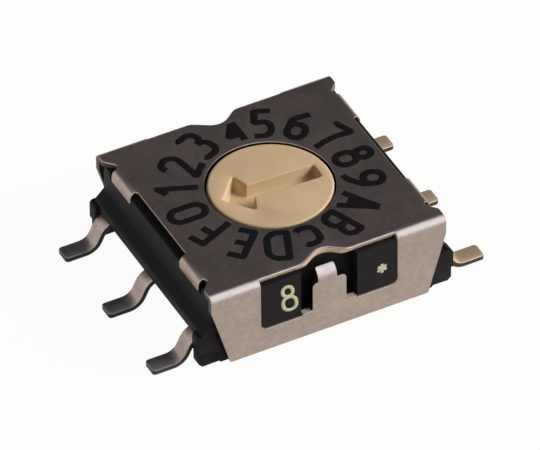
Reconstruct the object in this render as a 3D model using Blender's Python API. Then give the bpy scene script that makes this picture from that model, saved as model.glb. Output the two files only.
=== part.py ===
"""Rotary code switch for surface mounting, seven-millimetre class, sixteen positions.

A folded sheet cover clamps a moulded housing onto a terminal block. The rotor stands in the housing's
bore, carries a code disc on its underside and clicks against a flat spring. Six stamped terminals lead
from spring arms under the disc to gull-wing feet.

All sizes are in millimetres until an object is made. X runs from lead row to lead row, Y from front to
back, Z up from the board that the feet stand on. The turning axis is the Z axis.
"""
from math import cos, pi, radians, sin, tan

import bmesh
import bpy
from mathutils import Vector

MM = 0.001
SEAT = 0.01

# Radii round the turning axis, from the rotor's head outwards
ROTOR_RADIUS = 1.69
BORE_RADIUS = ROTOR_RADIUS + 0.07
HOLE_RADIUS = ROTOR_RADIUS + 0.085
SPRING_INNER = ROTOR_RADIUS + 0.17
SPRING_OUTER = SPRING_INNER + 0.44
ROTOR_FLANGE_RADIUS = SPRING_OUTER + 0.12
CAVITY_RADIUS = ROTOR_FLANGE_RADIUS + 0.28
EAR_REACH = CAVITY_RADIUS + 0.18
WELL_RADIUS = CAVITY_RADIUS - 0.30
ARM_ROOT_X = WELL_RADIUS + 0.02

# Cover sheet
COVER_TOP = 2.48
SHEET = 0.18
COVER_HALF_X = 3.44
COVER_HALF_Y = 3.35
FOLD_RADIUS = 0.22
FLANGE_HALF_X = 3.475
FLANGE_BOTTOM = 0.07
FLANGE_BOTTOM_HALF = 2.94
FLANGE_TAPER_TOP = 1.95
WINDOW_HALF = 2.02
WINDOW_BOTTOM = 0.80
WINDOW_CORNER = 0.13
WINDOW_STEP_X = 0.80
WINDOW_STEP = 0.07
LIP_Y = 3.24
NOTCH_DEPTH = 0.33
NOTCH_SLOPE = radians(38)
NOTCH_ROUND = 0.50
NOTCH_SHOULDER = 0.30
TONGUE_HALF = 0.50
TONGUE_TOP = 1.88
TONGUE_SHOULDER = 0.14
TIP_HALF = 0.28
TIP_LENGTH = 0.35
TIP_OFFSET = -0.05
TIP_RADIUS = 0.28
TAB_FROM = 1.42
TAB_TO = 2.50
TAB_BOTTOM = 2.10
TAB_CORNER = 0.06
RELIEF_Y = 2.63
RELIEF_DEPTH = 0.23
RELIEF_TO = 2.91
SHEET_CORNER = 0.06

# Housing
CASE_HALF_X = 3.41
CASE_HALF_Y = COVER_HALF_Y - SHEET - SEAT
SKIRT_HALF_X = 3.68
SKIRT_FROM = 1.20
SKIRT_TO = 1.48
PARTING = 0.87
CEILING = 1.95
POST_HALF_X = 3.79
POST_WIDTH = 0.36
POST_BOTTOM = 0.50
POST_SHOULDER = 0.88
POST_TOP = 1.28
POST_EDGE = 0.05
TONGUE_GROOVE_HALF = 0.83
PAD_DEPTH = 0.17
PAD_GAP = 0.02
TONGUE_GROOVE_DEPTH = 0.27

# Base
BASE_BOTTOM = 0.03
BASE_FOOT_X = 3.18
BASE_LEDGE_X = 3.36
BASE_LEDGE_FROM = 0.40
BASE_LEDGE_TO = 0.48
BASE_EDGE = 0.05
CORNER_FOOT_X = 3.75
CORNER_FOOT_LENGTH = 0.33
CORNER_FOOT_TOP = POST_BOTTOM - 2 * SEAT
WELL_FLOOR = 0.66
SPIGOT_TOP = 1.00
SPIGOT_GAP = 0.04
GATE_RADIUS = 0.55
GATE_DEPTH = 0.08

# Rotor
ROTOR_EDGE = 0.06
ROTOR_FLANGE_TOP = 1.78
ROTOR_FLANGE_BOTTOM = 1.40
SLOT_DEPTH = 0.42
SLOT_HALF_WIDTH = 0.24
SLOT_END = 1.38
ARROW_TIP = 1.40
ARROW_BARB_X = 0.76
ARROW_BARB_Y = 0.75
ARROW_BACK = 0.60
HUB_RADIUS = 0.56
PIVOT_RADIUS = 0.42
PIVOT_GAP = 0.03
PIVOT_BOTTOM = 0.36
DETENTS = 16
DETENT_DEPTH = 0.08
DETENT_HALF_ANGLE = radians(8)

# Seal
SEAL_SECTION = 0.24
SEAL_MIDDLE = 2.14
GROOVE_GAP = 0.02

# Code disc
DISC_THICKNESS = 0.10
DISC_INNER = 0.70
COMMON_OUTER = 0.92
TRACK_WIDTH = 0.20
TRACK_WEB = 0.05
TRACK_BITS = (8, 4, 2, 1)
DISC_RIM = 0.18
DISC_OUTER = COMMON_OUTER + len(TRACK_BITS) * (TRACK_WIDTH + TRACK_WEB) + DISC_RIM
WINDOW_GAP = 0.015

# Detent spring
SPRING_SHEET = 0.07
NIB_DROP = 0.06
NIB_HALF_ANGLE = radians(10)
EAR_HALF_ANGLE = radians(6)
EAR_GAP = 0.03

# Terminals
PITCH = 2.54
LEAD_WIDTH = 0.52
LEAD_SHEET = 0.15
LEAD_SPAN_HALF = 4.93
FOOT_BEND_X = 4.05
KNEE_X = 3.70
LEAD_BEND = 0.45
LEAD_TIP_CORNER = 0.08
ARM_WIDTH = 0.16
ARM_SHEET = 0.08
ARM_FLAT = 0.10
ARM_TOE = 0.16
CHANNEL_GAP = 0.015

ROUND_STEPS = 64
FINE_STEPS = 32

# Each terminal: name, side of the switch, row, bit of the code (0 is common), angle of its contact
TERMINALS = (
    ("terminal_1", -1, 1, 1, radians(135)),
    ("terminal_common_left", -1, 0, 0, radians(180)),
    ("terminal_8", -1, -1, 8, radians(-135)),
    ("terminal_2", 1, 1, 2, radians(45)),
    ("terminal_common_right", 1, 0, 0, radians(0)),
    ("terminal_4", 1, -1, 4, radians(-45)),
)


def make_material(name, colour, roughness, metallic=0.0):
    """A plain Principled finish with a linear colour."""
    material = bpy.data.materials.new(name)
    material.use_nodes = True
    shader = material.node_tree.nodes["Principled BSDF"]
    shader.inputs["Base Color"].default_value = (*colour, 1.0)
    shader.inputs["Roughness"].default_value = roughness
    shader.inputs["Metallic"].default_value = metallic
    return material


def make_object(name, bm, material=None):
    """Turns a bmesh in millimetres into an object in metres, faces out, with sharp edges kept."""
    bmesh.ops.remove_doubles(bm, verts=bm.verts[:], dist=1e-5)
    bmesh.ops.recalc_face_normals(bm, faces=bm.faces[:])
    bmesh.ops.scale(bm, vec=(MM, MM, MM), verts=bm.verts[:])
    mesh = bpy.data.meshes.new(name)
    bm.to_mesh(mesh)
    bm.free()
    mesh.shade_smooth()
    mesh.set_sharp_from_angle(angle=radians(30))
    item = bpy.data.objects.new(name, mesh)
    bpy.context.scene.collection.objects.link(item)
    if material:
        mesh.materials.append(material)
    return item


def boolean(item, operation, name, bm):
    """Joins a shape to an object, or cuts it away, and keeps the tool as a hidden wire object."""
    tool = make_object(name, bm)
    tool.hide_render = True
    tool.display_type = "WIRE"
    modifier = item.modifiers.new(name, "BOOLEAN")
    modifier.operation = operation
    modifier.object = tool
    return tool


def rounded(corners, steps=6):
    """An outline of (x, y, radius) corners as points, with an arc in place of each corner."""
    points = []
    for number, (x, y, radius) in enumerate(corners):
        before = Vector(corners[number - 1][:2]) - Vector((x, y))
        after = Vector(corners[(number + 1) % len(corners)][:2]) - Vector((x, y))
        before.normalize()
        after.normalize()
        opening = before.angle(after)
        if radius == 0 or opening > pi - 1e-4:
            points.append((x, y))
            continue
        centre = Vector((x, y)) + (before + after).normalized() * radius / sin(opening / 2)
        start = Vector((x, y)) + before * radius / tan(opening / 2) - centre
        turn = pi - opening
        if before.cross(after) > 0:
            turn = -turn
        for step in range(steps + 1):
            angle = turn * step / steps
            points.append((centre.x + start.x * cos(angle) - start.y * sin(angle),
                           centre.y + start.x * sin(angle) + start.y * cos(angle)))
    return points


def circle(radius, steps=ROUND_STEPS, phase=0.0):
    return [(radius * cos(phase + 2 * pi * i / steps), radius * sin(phase + 2 * pi * i / steps))
            for i in range(steps)]


def mirrored(points, x=1, y=1):
    return [(x * px, y * py) for px, py in points]


def fill(bm, loops, height=0.0):
    """Fills closed outlines, the first around the others, with flat triangles."""
    edges = []
    for loop in loops:
        verts = [bm.verts.new((x, y, height)) for x, y in loop]
        edges += [bm.edges.new((verts[i - 1], verts[i])) for i in range(len(verts))]
    return bmesh.ops.triangle_fill(bm, use_beauty=True, use_dissolve=False, edges=edges)


def add_plate(bm, loops, bottom, top):
    """A flat plate between two heights, with the first outline outside and holes by the others."""
    filled = fill(bm, loops, bottom)
    faces = [face for face in filled["geom"] if isinstance(face, bmesh.types.BMFace)]
    grown = bmesh.ops.extrude_face_region(bm, geom=faces)
    verts = [vert for vert in grown["geom"] if isinstance(vert, bmesh.types.BMVert)]
    bmesh.ops.translate(bm, vec=(0, 0, top - bottom), verts=verts)


def plate(loops, bottom, top):
    bm = bmesh.new()
    add_plate(bm, loops, bottom, top)
    return bm


def add_wall(bm, profile, start, end):
    """A profile of (x, z) points carried along Y from start to end."""
    rings = [[bm.verts.new((x, y, z)) for x, z in profile] for y in (start, end)]
    bm.faces.new(rings[0])
    bm.faces.new(rings[1][::-1])
    for i in range(len(profile)):
        bm.faces.new((rings[0][i - 1], rings[0][i], rings[1][i], rings[1][i - 1]))


def add_box(bm, low, high):
    outline = [(low[0], low[1]), (high[0], low[1]), (high[0], high[1]), (low[0], high[1])]
    add_plate(bm, [outline], low[2], high[2])


def turned(profile, steps=ROUND_STEPS):
    """A closed profile of (radius, z) points turned round the Z axis; points on the axis close it."""
    bm = bmesh.new()
    verts = [bm.verts.new((radius, 0, z)) for radius, z in profile]
    edges = [bm.edges.new((verts[i], verts[i + 1])) for i in range(len(verts) - 1)]
    if profile[0][0] > 0:
        edges.append(bm.edges.new((verts[-1], verts[0])))
    bmesh.ops.spin(bm, geom=verts + edges, cent=(0, 0, 0), axis=(0, 0, 1), angle=2 * pi, steps=steps,
                   use_merge=True)
    return bm


# Cover

FOLD_START_X = COVER_HALF_X - FOLD_RADIUS
FOLD_START_Y = COVER_HALF_Y - FOLD_RADIUS
FOLD_ARC = FOLD_RADIUS * pi / 2
FOLD_STEPS = 6


def unrolled(start, height):
    """Distance in the flat blank, from the middle, of a point at this height below a fold."""
    return start + FOLD_ARC + COVER_TOP - FOLD_RADIUS - height


def folded(start, distance, depth):
    """Place across and up of a blank point: flat, round the fold, then straight down."""
    beyond = distance - start
    if beyond <= 0:
        return distance, COVER_TOP - depth
    angle = min(beyond / FOLD_RADIUS, pi / 2)
    across = start + (FOLD_RADIUS - depth) * sin(angle)
    up = COVER_TOP - FOLD_RADIUS + (FOLD_RADIUS - depth) * cos(angle)
    return across, up - max(beyond - FOLD_ARC, 0)


def latched(distance, depth):
    """Place across and up on the tongue's tip, which curls from the flange towards the housing."""
    angle = (unrolled(FOLD_START_Y, TONGUE_TOP) - distance) / TIP_RADIUS
    across = COVER_HALF_Y - TIP_RADIUS + (TIP_RADIUS - depth) * cos(angle)
    return across, TONGUE_TOP + (TIP_RADIUS - depth) * sin(angle)


def blank_outline():
    """The blank's outer edge: tabs and relief notches at the sides, tapered flanges front and back."""
    tab_end = unrolled(FOLD_START_X, TAB_BOTTOM)
    notch_x = FOLD_START_X
    relief_x = COVER_HALF_X - RELIEF_DEPTH
    taper_top = unrolled(FOLD_START_Y, FLANGE_TAPER_TOP)
    bottom = unrolled(FOLD_START_Y, FLANGE_BOTTOM)
    quarter = [
        (notch_x, TAB_FROM - TAB_CORNER, 0),
        (notch_x + TAB_CORNER, TAB_FROM, 0),
        (tab_end, TAB_FROM, TAB_CORNER),
        (tab_end, TAB_TO, TAB_CORNER),
        (notch_x + TAB_CORNER, TAB_TO, 0),
        (relief_x, RELIEF_Y, TAB_CORNER / 2),
        (FLANGE_HALF_X, RELIEF_TO, 2 * SHEET_CORNER),
        (FLANGE_HALF_X, taper_top, SHEET_CORNER),
        (FLANGE_BOTTOM_HALF, bottom, SHEET_CORNER),
    ]
    loop = list(quarter)
    loop += [(-x, y, r) for x, y, r in reversed(quarter)]
    loop += [(-x, -y, r) for x, y, r in quarter]
    loop += [(x, -y, r) for x, y, r in reversed(quarter)]
    return rounded(loop, 3)


def opening_outline(side):
    """One flange's opening: both windows, the notch in the top plate and the free edge of the tongue."""
    bottom = unrolled(FOLD_START_Y, WINDOW_BOTTOM)
    step = unrolled(FOLD_START_Y, WINDOW_BOTTOM + WINDOW_STEP)
    shoulder = unrolled(FOLD_START_Y, TONGUE_TOP)
    vee_drop = NOTCH_DEPTH + NOTCH_ROUND * (1 / cos(NOTCH_SLOPE) - 1)
    half = [
        (vee_drop / tan(NOTCH_SLOPE), LIP_Y, NOTCH_SHOULDER),
        (WINDOW_HALF, LIP_Y, 0),
        (WINDOW_HALF, bottom, WINDOW_CORNER),
        (WINDOW_STEP_X, bottom, 0),
        (WINDOW_STEP_X, step, 0),
        (TONGUE_HALF, step, 0),
    ]
    tongue = [
        (TONGUE_HALF, shoulder, TONGUE_SHOULDER),
        (TIP_OFFSET + TIP_HALF, shoulder, 0),
        (TIP_OFFSET + TIP_HALF, shoulder - TIP_LENGTH, SHEET_CORNER),
        (TIP_OFFSET - TIP_HALF, shoulder - TIP_LENGTH, SHEET_CORNER),
        (TIP_OFFSET - TIP_HALF, shoulder, 0),
        (-TONGUE_HALF, shoulder, TONGUE_SHOULDER),
    ]
    loop = [(0, LIP_Y - vee_drop, NOTCH_ROUND)] + half + tongue
    loop += [(-x, y, r) for x, y, r in reversed(half)]
    return mirrored(rounded(loop), y=side)


def cut_lines(bm, point, normal):
    """Splits every face along one plane, so that the sheet can bend there."""
    geom = bm.verts[:] + bm.edges[:] + bm.faces[:]
    bmesh.ops.bisect_plane(bm, geom=geom, plane_co=point, plane_no=normal, dist=1e-6)


def fold_vertex(x, y, depth):
    side_x = 1 if x > 0 else -1
    side_y = 1 if y > 0 else -1
    tip_root = unrolled(FOLD_START_Y, TONGUE_TOP)
    if abs(y) < RELIEF_Y:
        across, up = folded(FOLD_START_X, abs(x), depth)
        return side_x * across, y, up
    if abs(x - TIP_OFFSET) < TIP_HALF + SEAT and tip_root - TIP_LENGTH - SEAT < abs(y) < tip_root:
        across, up = latched(abs(y), depth)
    else:
        across, up = folded(FOLD_START_Y, abs(y), depth)
    return x, side_y * across, up


def build_cover(steel):
    """One stamped blank, folded: flanges over the front and back, short tabs over the sides."""
    loops = [blank_outline(), circle(HOLE_RADIUS), opening_outline(1), opening_outline(-1)]
    bm = plate(loops, -SHEET, 0)
    tip_root = unrolled(FOLD_START_Y, TONGUE_TOP)
    for side in (-1, 1):
        for step in range(FOLD_STEPS + 1):
            turn = FOLD_ARC * step / FOLD_STEPS
            cut_lines(bm, (side * (FOLD_START_X + turn), 0, 0), (1, 0, 0))
            cut_lines(bm, (0, side * (FOLD_START_Y + turn), 0), (0, 1, 0))
        for step in range(1, FOLD_STEPS):
            cut_lines(bm, (0, side * (tip_root - TIP_LENGTH * step / FOLD_STEPS), 0), (0, 1, 0))
        cut_lines(bm, (0, side * tip_root, 0), (0, 1, 0))
    for vert in bm.verts:
        vert.co = fold_vertex(vert.co.x, vert.co.y, -vert.co.z)
    return make_object("cover", bm, steel)


# Housing

def build_housing(plastic):
    """The upper case: flared side skirts, four corner posts, a round cavity and the rotor's bore."""
    top = COVER_TOP - SHEET - SEAT
    half = [(SKIRT_HALF_X, PARTING), (SKIRT_HALF_X, SKIRT_FROM), (CASE_HALF_X, SKIRT_TO),
            (CASE_HALF_X, top)]
    bm = bmesh.new()
    add_wall(bm, half + [(-x, z) for x, z in reversed(half)], -CASE_HALF_Y, CASE_HALF_Y)
    housing = make_object("housing", bm, plastic)
    boolean(housing, "UNION", "corner_posts", post_shapes())
    boolean(housing, "UNION", "case_pads", case_pads(top))
    boolean(housing, "DIFFERENCE", "pad_relief", pad_relief())
    half_step = pi / ROUND_STEPS
    cavity = plate([circle(CAVITY_RADIUS, phase=half_step)], PARTING - 1, CEILING)
    boolean(housing, "DIFFERENCE", "cavity_tool", cavity)
    bore = plate([circle(BORE_RADIUS, phase=half_step)], CEILING - SEAT, top + 1)
    boolean(housing, "DIFFERENCE", "bore_tool", bore)
    boolean(housing, "DIFFERENCE", "pocket_tool", pocket_shapes(top))
    return housing


def post_shapes():
    """Four corner posts with quarter-round shoulders, which reach down past the parting line."""
    inner = BASE_LEDGE_X + 2 * SEAT
    profile = [(inner, POST_BOTTOM), (POST_HALF_X - POST_EDGE, POST_BOTTOM),
               (POST_HALF_X, POST_BOTTOM + POST_EDGE)]
    steps = 6
    for step in range(steps + 1):
        angle = pi / 2 * step / steps
        profile.append((CASE_HALF_X - SEAT + (POST_HALF_X - CASE_HALF_X + SEAT) * cos(angle),
                        POST_SHOULDER + (POST_TOP - POST_SHOULDER) * sin(angle)))
    profile.append((inner, POST_TOP))
    bm = bmesh.new()
    for x in (-1, 1):
        for y in (-1, 1):
            add_wall(bm, [(x * px, pz) for px, pz in profile], y * (CASE_HALF_Y - POST_WIDTH),
                     y * CASE_HALF_Y)
    return bm


def case_pads(top):
    """Four raised pads that fill the cover's windows almost flush, each side of the tongue grooves."""
    outline = rounded([(TONGUE_GROOVE_HALF, top, 0), (TONGUE_GROOVE_HALF, WINDOW_BOTTOM + PAD_GAP, 0),
                       (WINDOW_HALF - PAD_GAP, WINDOW_BOTTOM + PAD_GAP, WINDOW_CORNER),
                       (WINDOW_HALF - PAD_GAP, top, 0)], 3)
    bm = bmesh.new()
    for x in (-1, 1):
        for y in (-1, 1):
            y_range = sorted((y * (CASE_HALF_Y - 0.1), y * (CASE_HALF_Y + PAD_DEPTH)))
            add_wall(bm, [(x * px, pz) for px, pz in outline], *y_range)
    return bm


def pad_relief():
    """Clears the pads' inner halves where the terminal block stands behind them, below the parting."""
    bm = bmesh.new()
    for side in (-1, 1):
        y_range = sorted((side * (CASE_HALF_Y - 0.2), side * (CASE_HALF_Y + SEAT)))
        add_box(bm, (-WINDOW_HALF, y_range[0], WINDOW_BOTTOM - 0.2),
                (WINDOW_HALF, y_range[1], PARTING - SEAT / 2))
    return bm


def pocket_shapes(top):
    """Room in the housing for the cover's tabs and tongues and for the detent spring's ears."""
    bm = bmesh.new()
    tab_floor = COVER_HALF_X - SHEET - 2 * SEAT
    groove_floor = CASE_HALF_Y - TONGUE_GROOVE_DEPTH
    ear_half = EAR_REACH * sin(EAR_HALF_ANGLE) + EAR_GAP
    for side in (-1, 1):
        x_range = sorted((side * tab_floor, side * (CASE_HALF_X + 1)))
        for y in (-1, 1):
            y_range = sorted((y * (TAB_FROM - 2 * SEAT), y * RELIEF_Y))
            add_box(bm, (x_range[0], y_range[0], TAB_BOTTOM - 2 * SEAT), (x_range[1], y_range[1], top + 1))
        y_range = sorted((side * groove_floor, side * (CASE_HALF_Y + 1)))
        add_box(bm, (-TONGUE_GROOVE_HALF, y_range[0], PARTING - 1),
                (TONGUE_GROOVE_HALF, y_range[1], top + 1))
        x_range = sorted((side * (CAVITY_RADIUS - 0.2), side * (EAR_REACH + EAR_GAP)))
        add_box(bm, (x_range[0], -ear_half, PARTING - 1), (x_range[1], ear_half, CEILING))
    return bm


# Base

def build_base(plastic):
    """The terminal block: a well for the contact arms inside a spigot, with channels for the terminals."""
    top = PARTING - SEAT
    half = [(BASE_FOOT_X - BASE_EDGE, BASE_BOTTOM), (BASE_FOOT_X, BASE_BOTTOM + BASE_EDGE),
            (BASE_FOOT_X, BASE_LEDGE_FROM), (BASE_LEDGE_X, BASE_LEDGE_TO), (BASE_LEDGE_X, top)]
    bm = bmesh.new()
    add_wall(bm, half + [(-x, z) for x, z in reversed(half)], -CASE_HALF_Y, CASE_HALF_Y)
    base = make_object("base", bm, plastic)
    boolean(base, "UNION", "corner_feet", foot_shapes())
    spigot = plate([circle(CAVITY_RADIUS - SPIGOT_GAP)], BASE_LEDGE_TO, SPIGOT_TOP)
    boolean(base, "UNION", "spigot", spigot)
    half_step = pi / ROUND_STEPS
    well = plate([circle(WELL_RADIUS, phase=half_step)], WELL_FLOOR, SPIGOT_TOP + 1)
    boolean(base, "DIFFERENCE", "well_tool", well)
    bearing_circle = circle(PIVOT_RADIUS + PIVOT_GAP, FINE_STEPS, half_step)
    bearing = plate([bearing_circle], PIVOT_BOTTOM - PIVOT_GAP, WELL_FLOOR + 1)
    boolean(base, "DIFFERENCE", "bearing_tool", bearing)
    gate = plate([circle(GATE_RADIUS, FINE_STEPS)], BASE_BOTTOM - 1, BASE_BOTTOM + GATE_DEPTH)
    boolean(base, "DIFFERENCE", "gate_tool", gate)
    boolean(base, "DIFFERENCE", "channel_tool", channel_shapes())
    return base


def foot_shapes():
    """Four corner feet under the housing's posts."""
    inner = BASE_FOOT_X - 2 * BASE_EDGE
    profile = [(inner, BASE_BOTTOM + SEAT), (CORNER_FOOT_X - 2 * BASE_EDGE, BASE_BOTTOM),
               (CORNER_FOOT_X, BASE_BOTTOM + 2 * BASE_EDGE), (CORNER_FOOT_X, CORNER_FOOT_TOP),
               (inner, CORNER_FOOT_TOP)]
    bm = bmesh.new()
    for x in (-1, 1):
        for y in (-1, 1):
            end = CASE_HALF_Y - BASE_EDGE
            add_wall(bm, [(x * px, pz) for px, pz in profile], y * (end - CORNER_FOOT_LENGTH), y * end)
    return bm


def channel_shapes():
    """A channel for each terminal's strip, from the side wall to the root and on towards the contact."""
    bm = bmesh.new()
    half = LEAD_WIDTH / 2 + CHANNEL_GAP
    floor = PARTING - SEAT - LEAD_SHEET - SEAT
    for _, side, row, bit, angle in TERMINALS:
        root = Vector((side * ARM_ROOT_X, row * PITCH))
        inner, outer = track_radii(bit)
        contact = Vector((cos(angle), sin(angle))) * (inner + outer) / 2
        along = (contact - root).normalized()
        inward = Vector((-side, 0))
        mitre = (inward + along).normalized()
        corner = Vector((-mitre.y, mitre.x)) * half / mitre.dot(inward)
        sideways = Vector((-along.y, along.x)) * half
        start = Vector((side * (BASE_LEDGE_X + 1), row * PITCH))
        end = root + along * (root.length - WELL_RADIUS + half)
        flip = Vector((-inward.y, inward.x)) * half
        outline = [start + flip, root + corner, end + sideways, end - sideways, root - corner, start - flip]
        add_plate(bm, [[tuple(point) for point in outline]], floor, SPIGOT_TOP + 1)
    return bm


# Rotor

def arrow_outline():
    """The screwdriver slot seen from above: a shaft with a broad arrowhead that points to -X."""
    return [(SLOT_END, SLOT_HALF_WIDTH), (-ARROW_BACK, SLOT_HALF_WIDTH), (-ARROW_BARB_X, ARROW_BARB_Y),
            (-ARROW_TIP, 0), (-ARROW_BARB_X, -ARROW_BARB_Y), (-ARROW_BACK, -SLOT_HALF_WIDTH),
            (SLOT_END, -SLOT_HALF_WIDTH)]


def build_rotor(resin):
    """The adjuster: head with a seal groove, wide flange, hub and pivot pin, all one moulding."""
    disc_bottom = ROTOR_FLANGE_BOTTOM - DISC_THICKNESS
    groove_half = SEAL_SECTION / 2 + GROOVE_GAP
    groove_radius = BORE_RADIUS - SEAT - SEAL_SECTION - GROOVE_GAP
    profile = [
        (0, COVER_TOP),
        (ROTOR_RADIUS - ROTOR_EDGE, COVER_TOP),
        (ROTOR_RADIUS - ROTOR_EDGE * 0.3, COVER_TOP - ROTOR_EDGE * 0.3),
        (ROTOR_RADIUS, COVER_TOP - ROTOR_EDGE),
        (ROTOR_RADIUS, SEAL_MIDDLE + groove_half),
        (groove_radius, SEAL_MIDDLE + groove_half),
        (groove_radius, SEAL_MIDDLE - groove_half),
        (ROTOR_RADIUS, SEAL_MIDDLE - groove_half),
        (ROTOR_RADIUS, ROTOR_FLANGE_TOP),
        (ROTOR_FLANGE_RADIUS, ROTOR_FLANGE_TOP),
        (ROTOR_FLANGE_RADIUS, disc_bottom),
        (DISC_OUTER + SEAT, disc_bottom),
        (DISC_OUTER + SEAT, ROTOR_FLANGE_BOTTOM),
        (DISC_INNER - SEAT, ROTOR_FLANGE_BOTTOM),
        (DISC_INNER - SEAT, disc_bottom),
        (HUB_RADIUS, disc_bottom),
        (HUB_RADIUS, WELL_FLOOR + SEAT),
        (PIVOT_RADIUS, WELL_FLOOR + SEAT),
        (PIVOT_RADIUS, PIVOT_BOTTOM),
        (0, PIVOT_BOTTOM),
    ]
    rotor = make_object("rotor", turned(profile), resin)
    slot = plate([arrow_outline()], COVER_TOP - SLOT_DEPTH, COVER_TOP + 1)
    boolean(rotor, "DIFFERENCE", "slot_tool", slot)
    boolean(rotor, "DIFFERENCE", "notch_tool", notch_shapes())
    boolean(rotor, "UNION", "window_pads", pad_shapes(disc_bottom))
    return rotor


def notch_shapes():
    """Sixteen radial vee notches in the top of the flange, one under a nib at each position."""
    bm = bmesh.new()
    inner = ROTOR_RADIUS + 0.06
    outer = ROTOR_FLANGE_RADIUS + 1
    bottom = ROTOR_FLANGE_TOP - DETENT_DEPTH
    rise = DETENT_DEPTH * 1.3
    for number in range(DETENTS):
        middle = 2 * pi * number / DETENTS
        spread = DETENT_HALF_ANGLE * rise / DETENT_DEPTH
        rings = []
        for radius in (inner, outer):
            ring = [(middle, bottom), (middle + spread, bottom + rise), (middle - spread, bottom + rise)]
            rings.append([bm.verts.new((radius * cos(a), radius * sin(a), z)) for a, z in ring])
        bm.faces.new(rings[0])
        bm.faces.new(rings[1][::-1])
        for i in range(3):
            bm.faces.new((rings[0][i - 1], rings[0][i], rings[1][i], rings[1][i - 1]))
    return bm


def build_seal(rubber):
    """An O-ring in the rotor's groove, out to the housing's bore."""
    minor = SEAL_SECTION / 2
    middle = BORE_RADIUS - SEAT - minor
    steps = 12
    section = [(middle + minor * cos(2 * pi * i / steps), SEAL_MIDDLE + minor * sin(2 * pi * i / steps))
               for i in range(steps)]
    return make_object("rotor_seal", turned(section), rubber)


# Code disc

def track_radii(bit):
    """Inner and outer radius of the track that this bit's contact runs on; 0 is the common ring."""
    if bit == 0:
        return DISC_INNER, COMMON_OUTER
    inner = COMMON_OUTER + TRACK_WEB + TRACK_BITS.index(bit) * (TRACK_WIDTH + TRACK_WEB)
    return inner, inner + TRACK_WIDTH


def contact_angle(bit):
    return next(angle for _, _, _, terminal_bit, angle in TERMINALS if terminal_bit == bit)


def windows(bit):
    """Start and end angles of the track's windows: the positions whose number lacks this bit."""
    step = 2 * pi / DETENTS
    open_positions = [number for number in range(DETENTS) if not number & bit]
    starts = [n for n in open_positions if (n - 1) % DETENTS not in open_positions]
    spans = []
    for start in starts:
        length = 1
        while (start + length) % DETENTS in open_positions:
            length += 1
        first = contact_angle(bit) + (start - 0.5) * step
        spans.append((first, first + length * step))
    return spans


def sector(inner, outer, start, end, steps):
    """Outline of a ring sector."""
    turn = [start + (end - start) * i / steps for i in range(steps + 1)]
    return ([(inner * cos(a), inner * sin(a)) for a in turn]
            + [(outer * cos(a), outer * sin(a)) for a in reversed(turn)])


def window_outlines(gap):
    outlines = []
    for bit in TRACK_BITS:
        inner, outer = track_radii(bit)
        for start, end in windows(bit):
            steps = max(3, round((end - start) / (2 * pi) * ROUND_STEPS))
            slack = gap / inner
            outlines.append(sector(inner + gap, outer - gap, start + slack, end - slack, steps))
    return outlines


def build_code_disc(brass):
    """The stamped disc: a common ring and four tracks whose windows spell the sixteen codes."""
    loops = [circle(DISC_OUTER), circle(DISC_INNER)] + window_outlines(0)
    bottom = ROTOR_FLANGE_BOTTOM - DISC_THICKNESS
    return make_object("code_disc", plate(loops, bottom, ROTOR_FLANGE_BOTTOM - SEAT), brass)


def pad_shapes(bottom):
    """The rotor's own plastic, which fills the disc's windows flush."""
    bm = bmesh.new()
    for outline in window_outlines(WINDOW_GAP):
        add_plate(bm, [outline], bottom, ROTOR_FLANGE_BOTTOM + SEAT)
    return bm


# Detent spring

def build_detent_spring(steel):
    """A flat ring under the housing's ceiling: a nib at the front and back, an ear at each side."""
    steps = 144
    top = CEILING - SEAT
    bm = bmesh.new()
    rings = []
    for step in range(steps):
        angle = 2 * pi * step / steps
        from_nib = min(abs(angle - pi / 2), abs(angle - 3 * pi / 2))
        drop = NIB_DROP * (1 + cos(pi * min(from_nib / NIB_HALF_ANGLE, 1))) / 2
        from_ear = min(abs(angle), abs(angle - pi), abs(angle - 2 * pi))
        outer = EAR_REACH if from_ear <= EAR_HALF_ANGLE + 1e-6 else SPRING_OUTER
        section = [(SPRING_INNER, top), (SPRING_OUTER, top), (SPRING_OUTER, top - SPRING_SHEET),
                   (SPRING_INNER, top - SPRING_SHEET)]
        rings.append([bm.verts.new((r * cos(angle), r * sin(angle), z - drop)) for r, z in section])
    for step in range(steps):
        before, after = rings[step - 1], rings[step]
        for i in range(4):
            bm.faces.new((before[i - 1], before[i], after[i], after[i - 1]))
    spring = make_object("detent_spring", bm, steel)
    ears = bmesh.new()
    half = EAR_REACH * sin(EAR_HALF_ANGLE)
    for side in (-1, 1):
        x_range = sorted((side * (SPRING_OUTER - 0.1), side * EAR_REACH))
        add_box(ears, (x_range[0], -half, top - SPRING_SHEET), (x_range[1], half, top))
    boolean(spring, "UNION", "ears", ears)
    return spring


# Terminals

def lead_path():
    """The strip's middle line outside the base, from foot tip to root: (x, z) points with round bends."""
    foot_z = LEAD_SHEET / 2
    root_z = PARTING - SEAT - LEAD_SHEET / 2
    corners = [(LEAD_SPAN_HALF, foot_z, 0), (FOOT_BEND_X, foot_z, LEAD_BEND), (KNEE_X, root_z, LEAD_BEND),
               (ARM_ROOT_X, root_z, 0)]
    points = rounded(corners, 7)
    return [points[0], (LEAD_SPAN_HALF - LEAD_TIP_CORNER, foot_z)] + points[1:]


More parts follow.
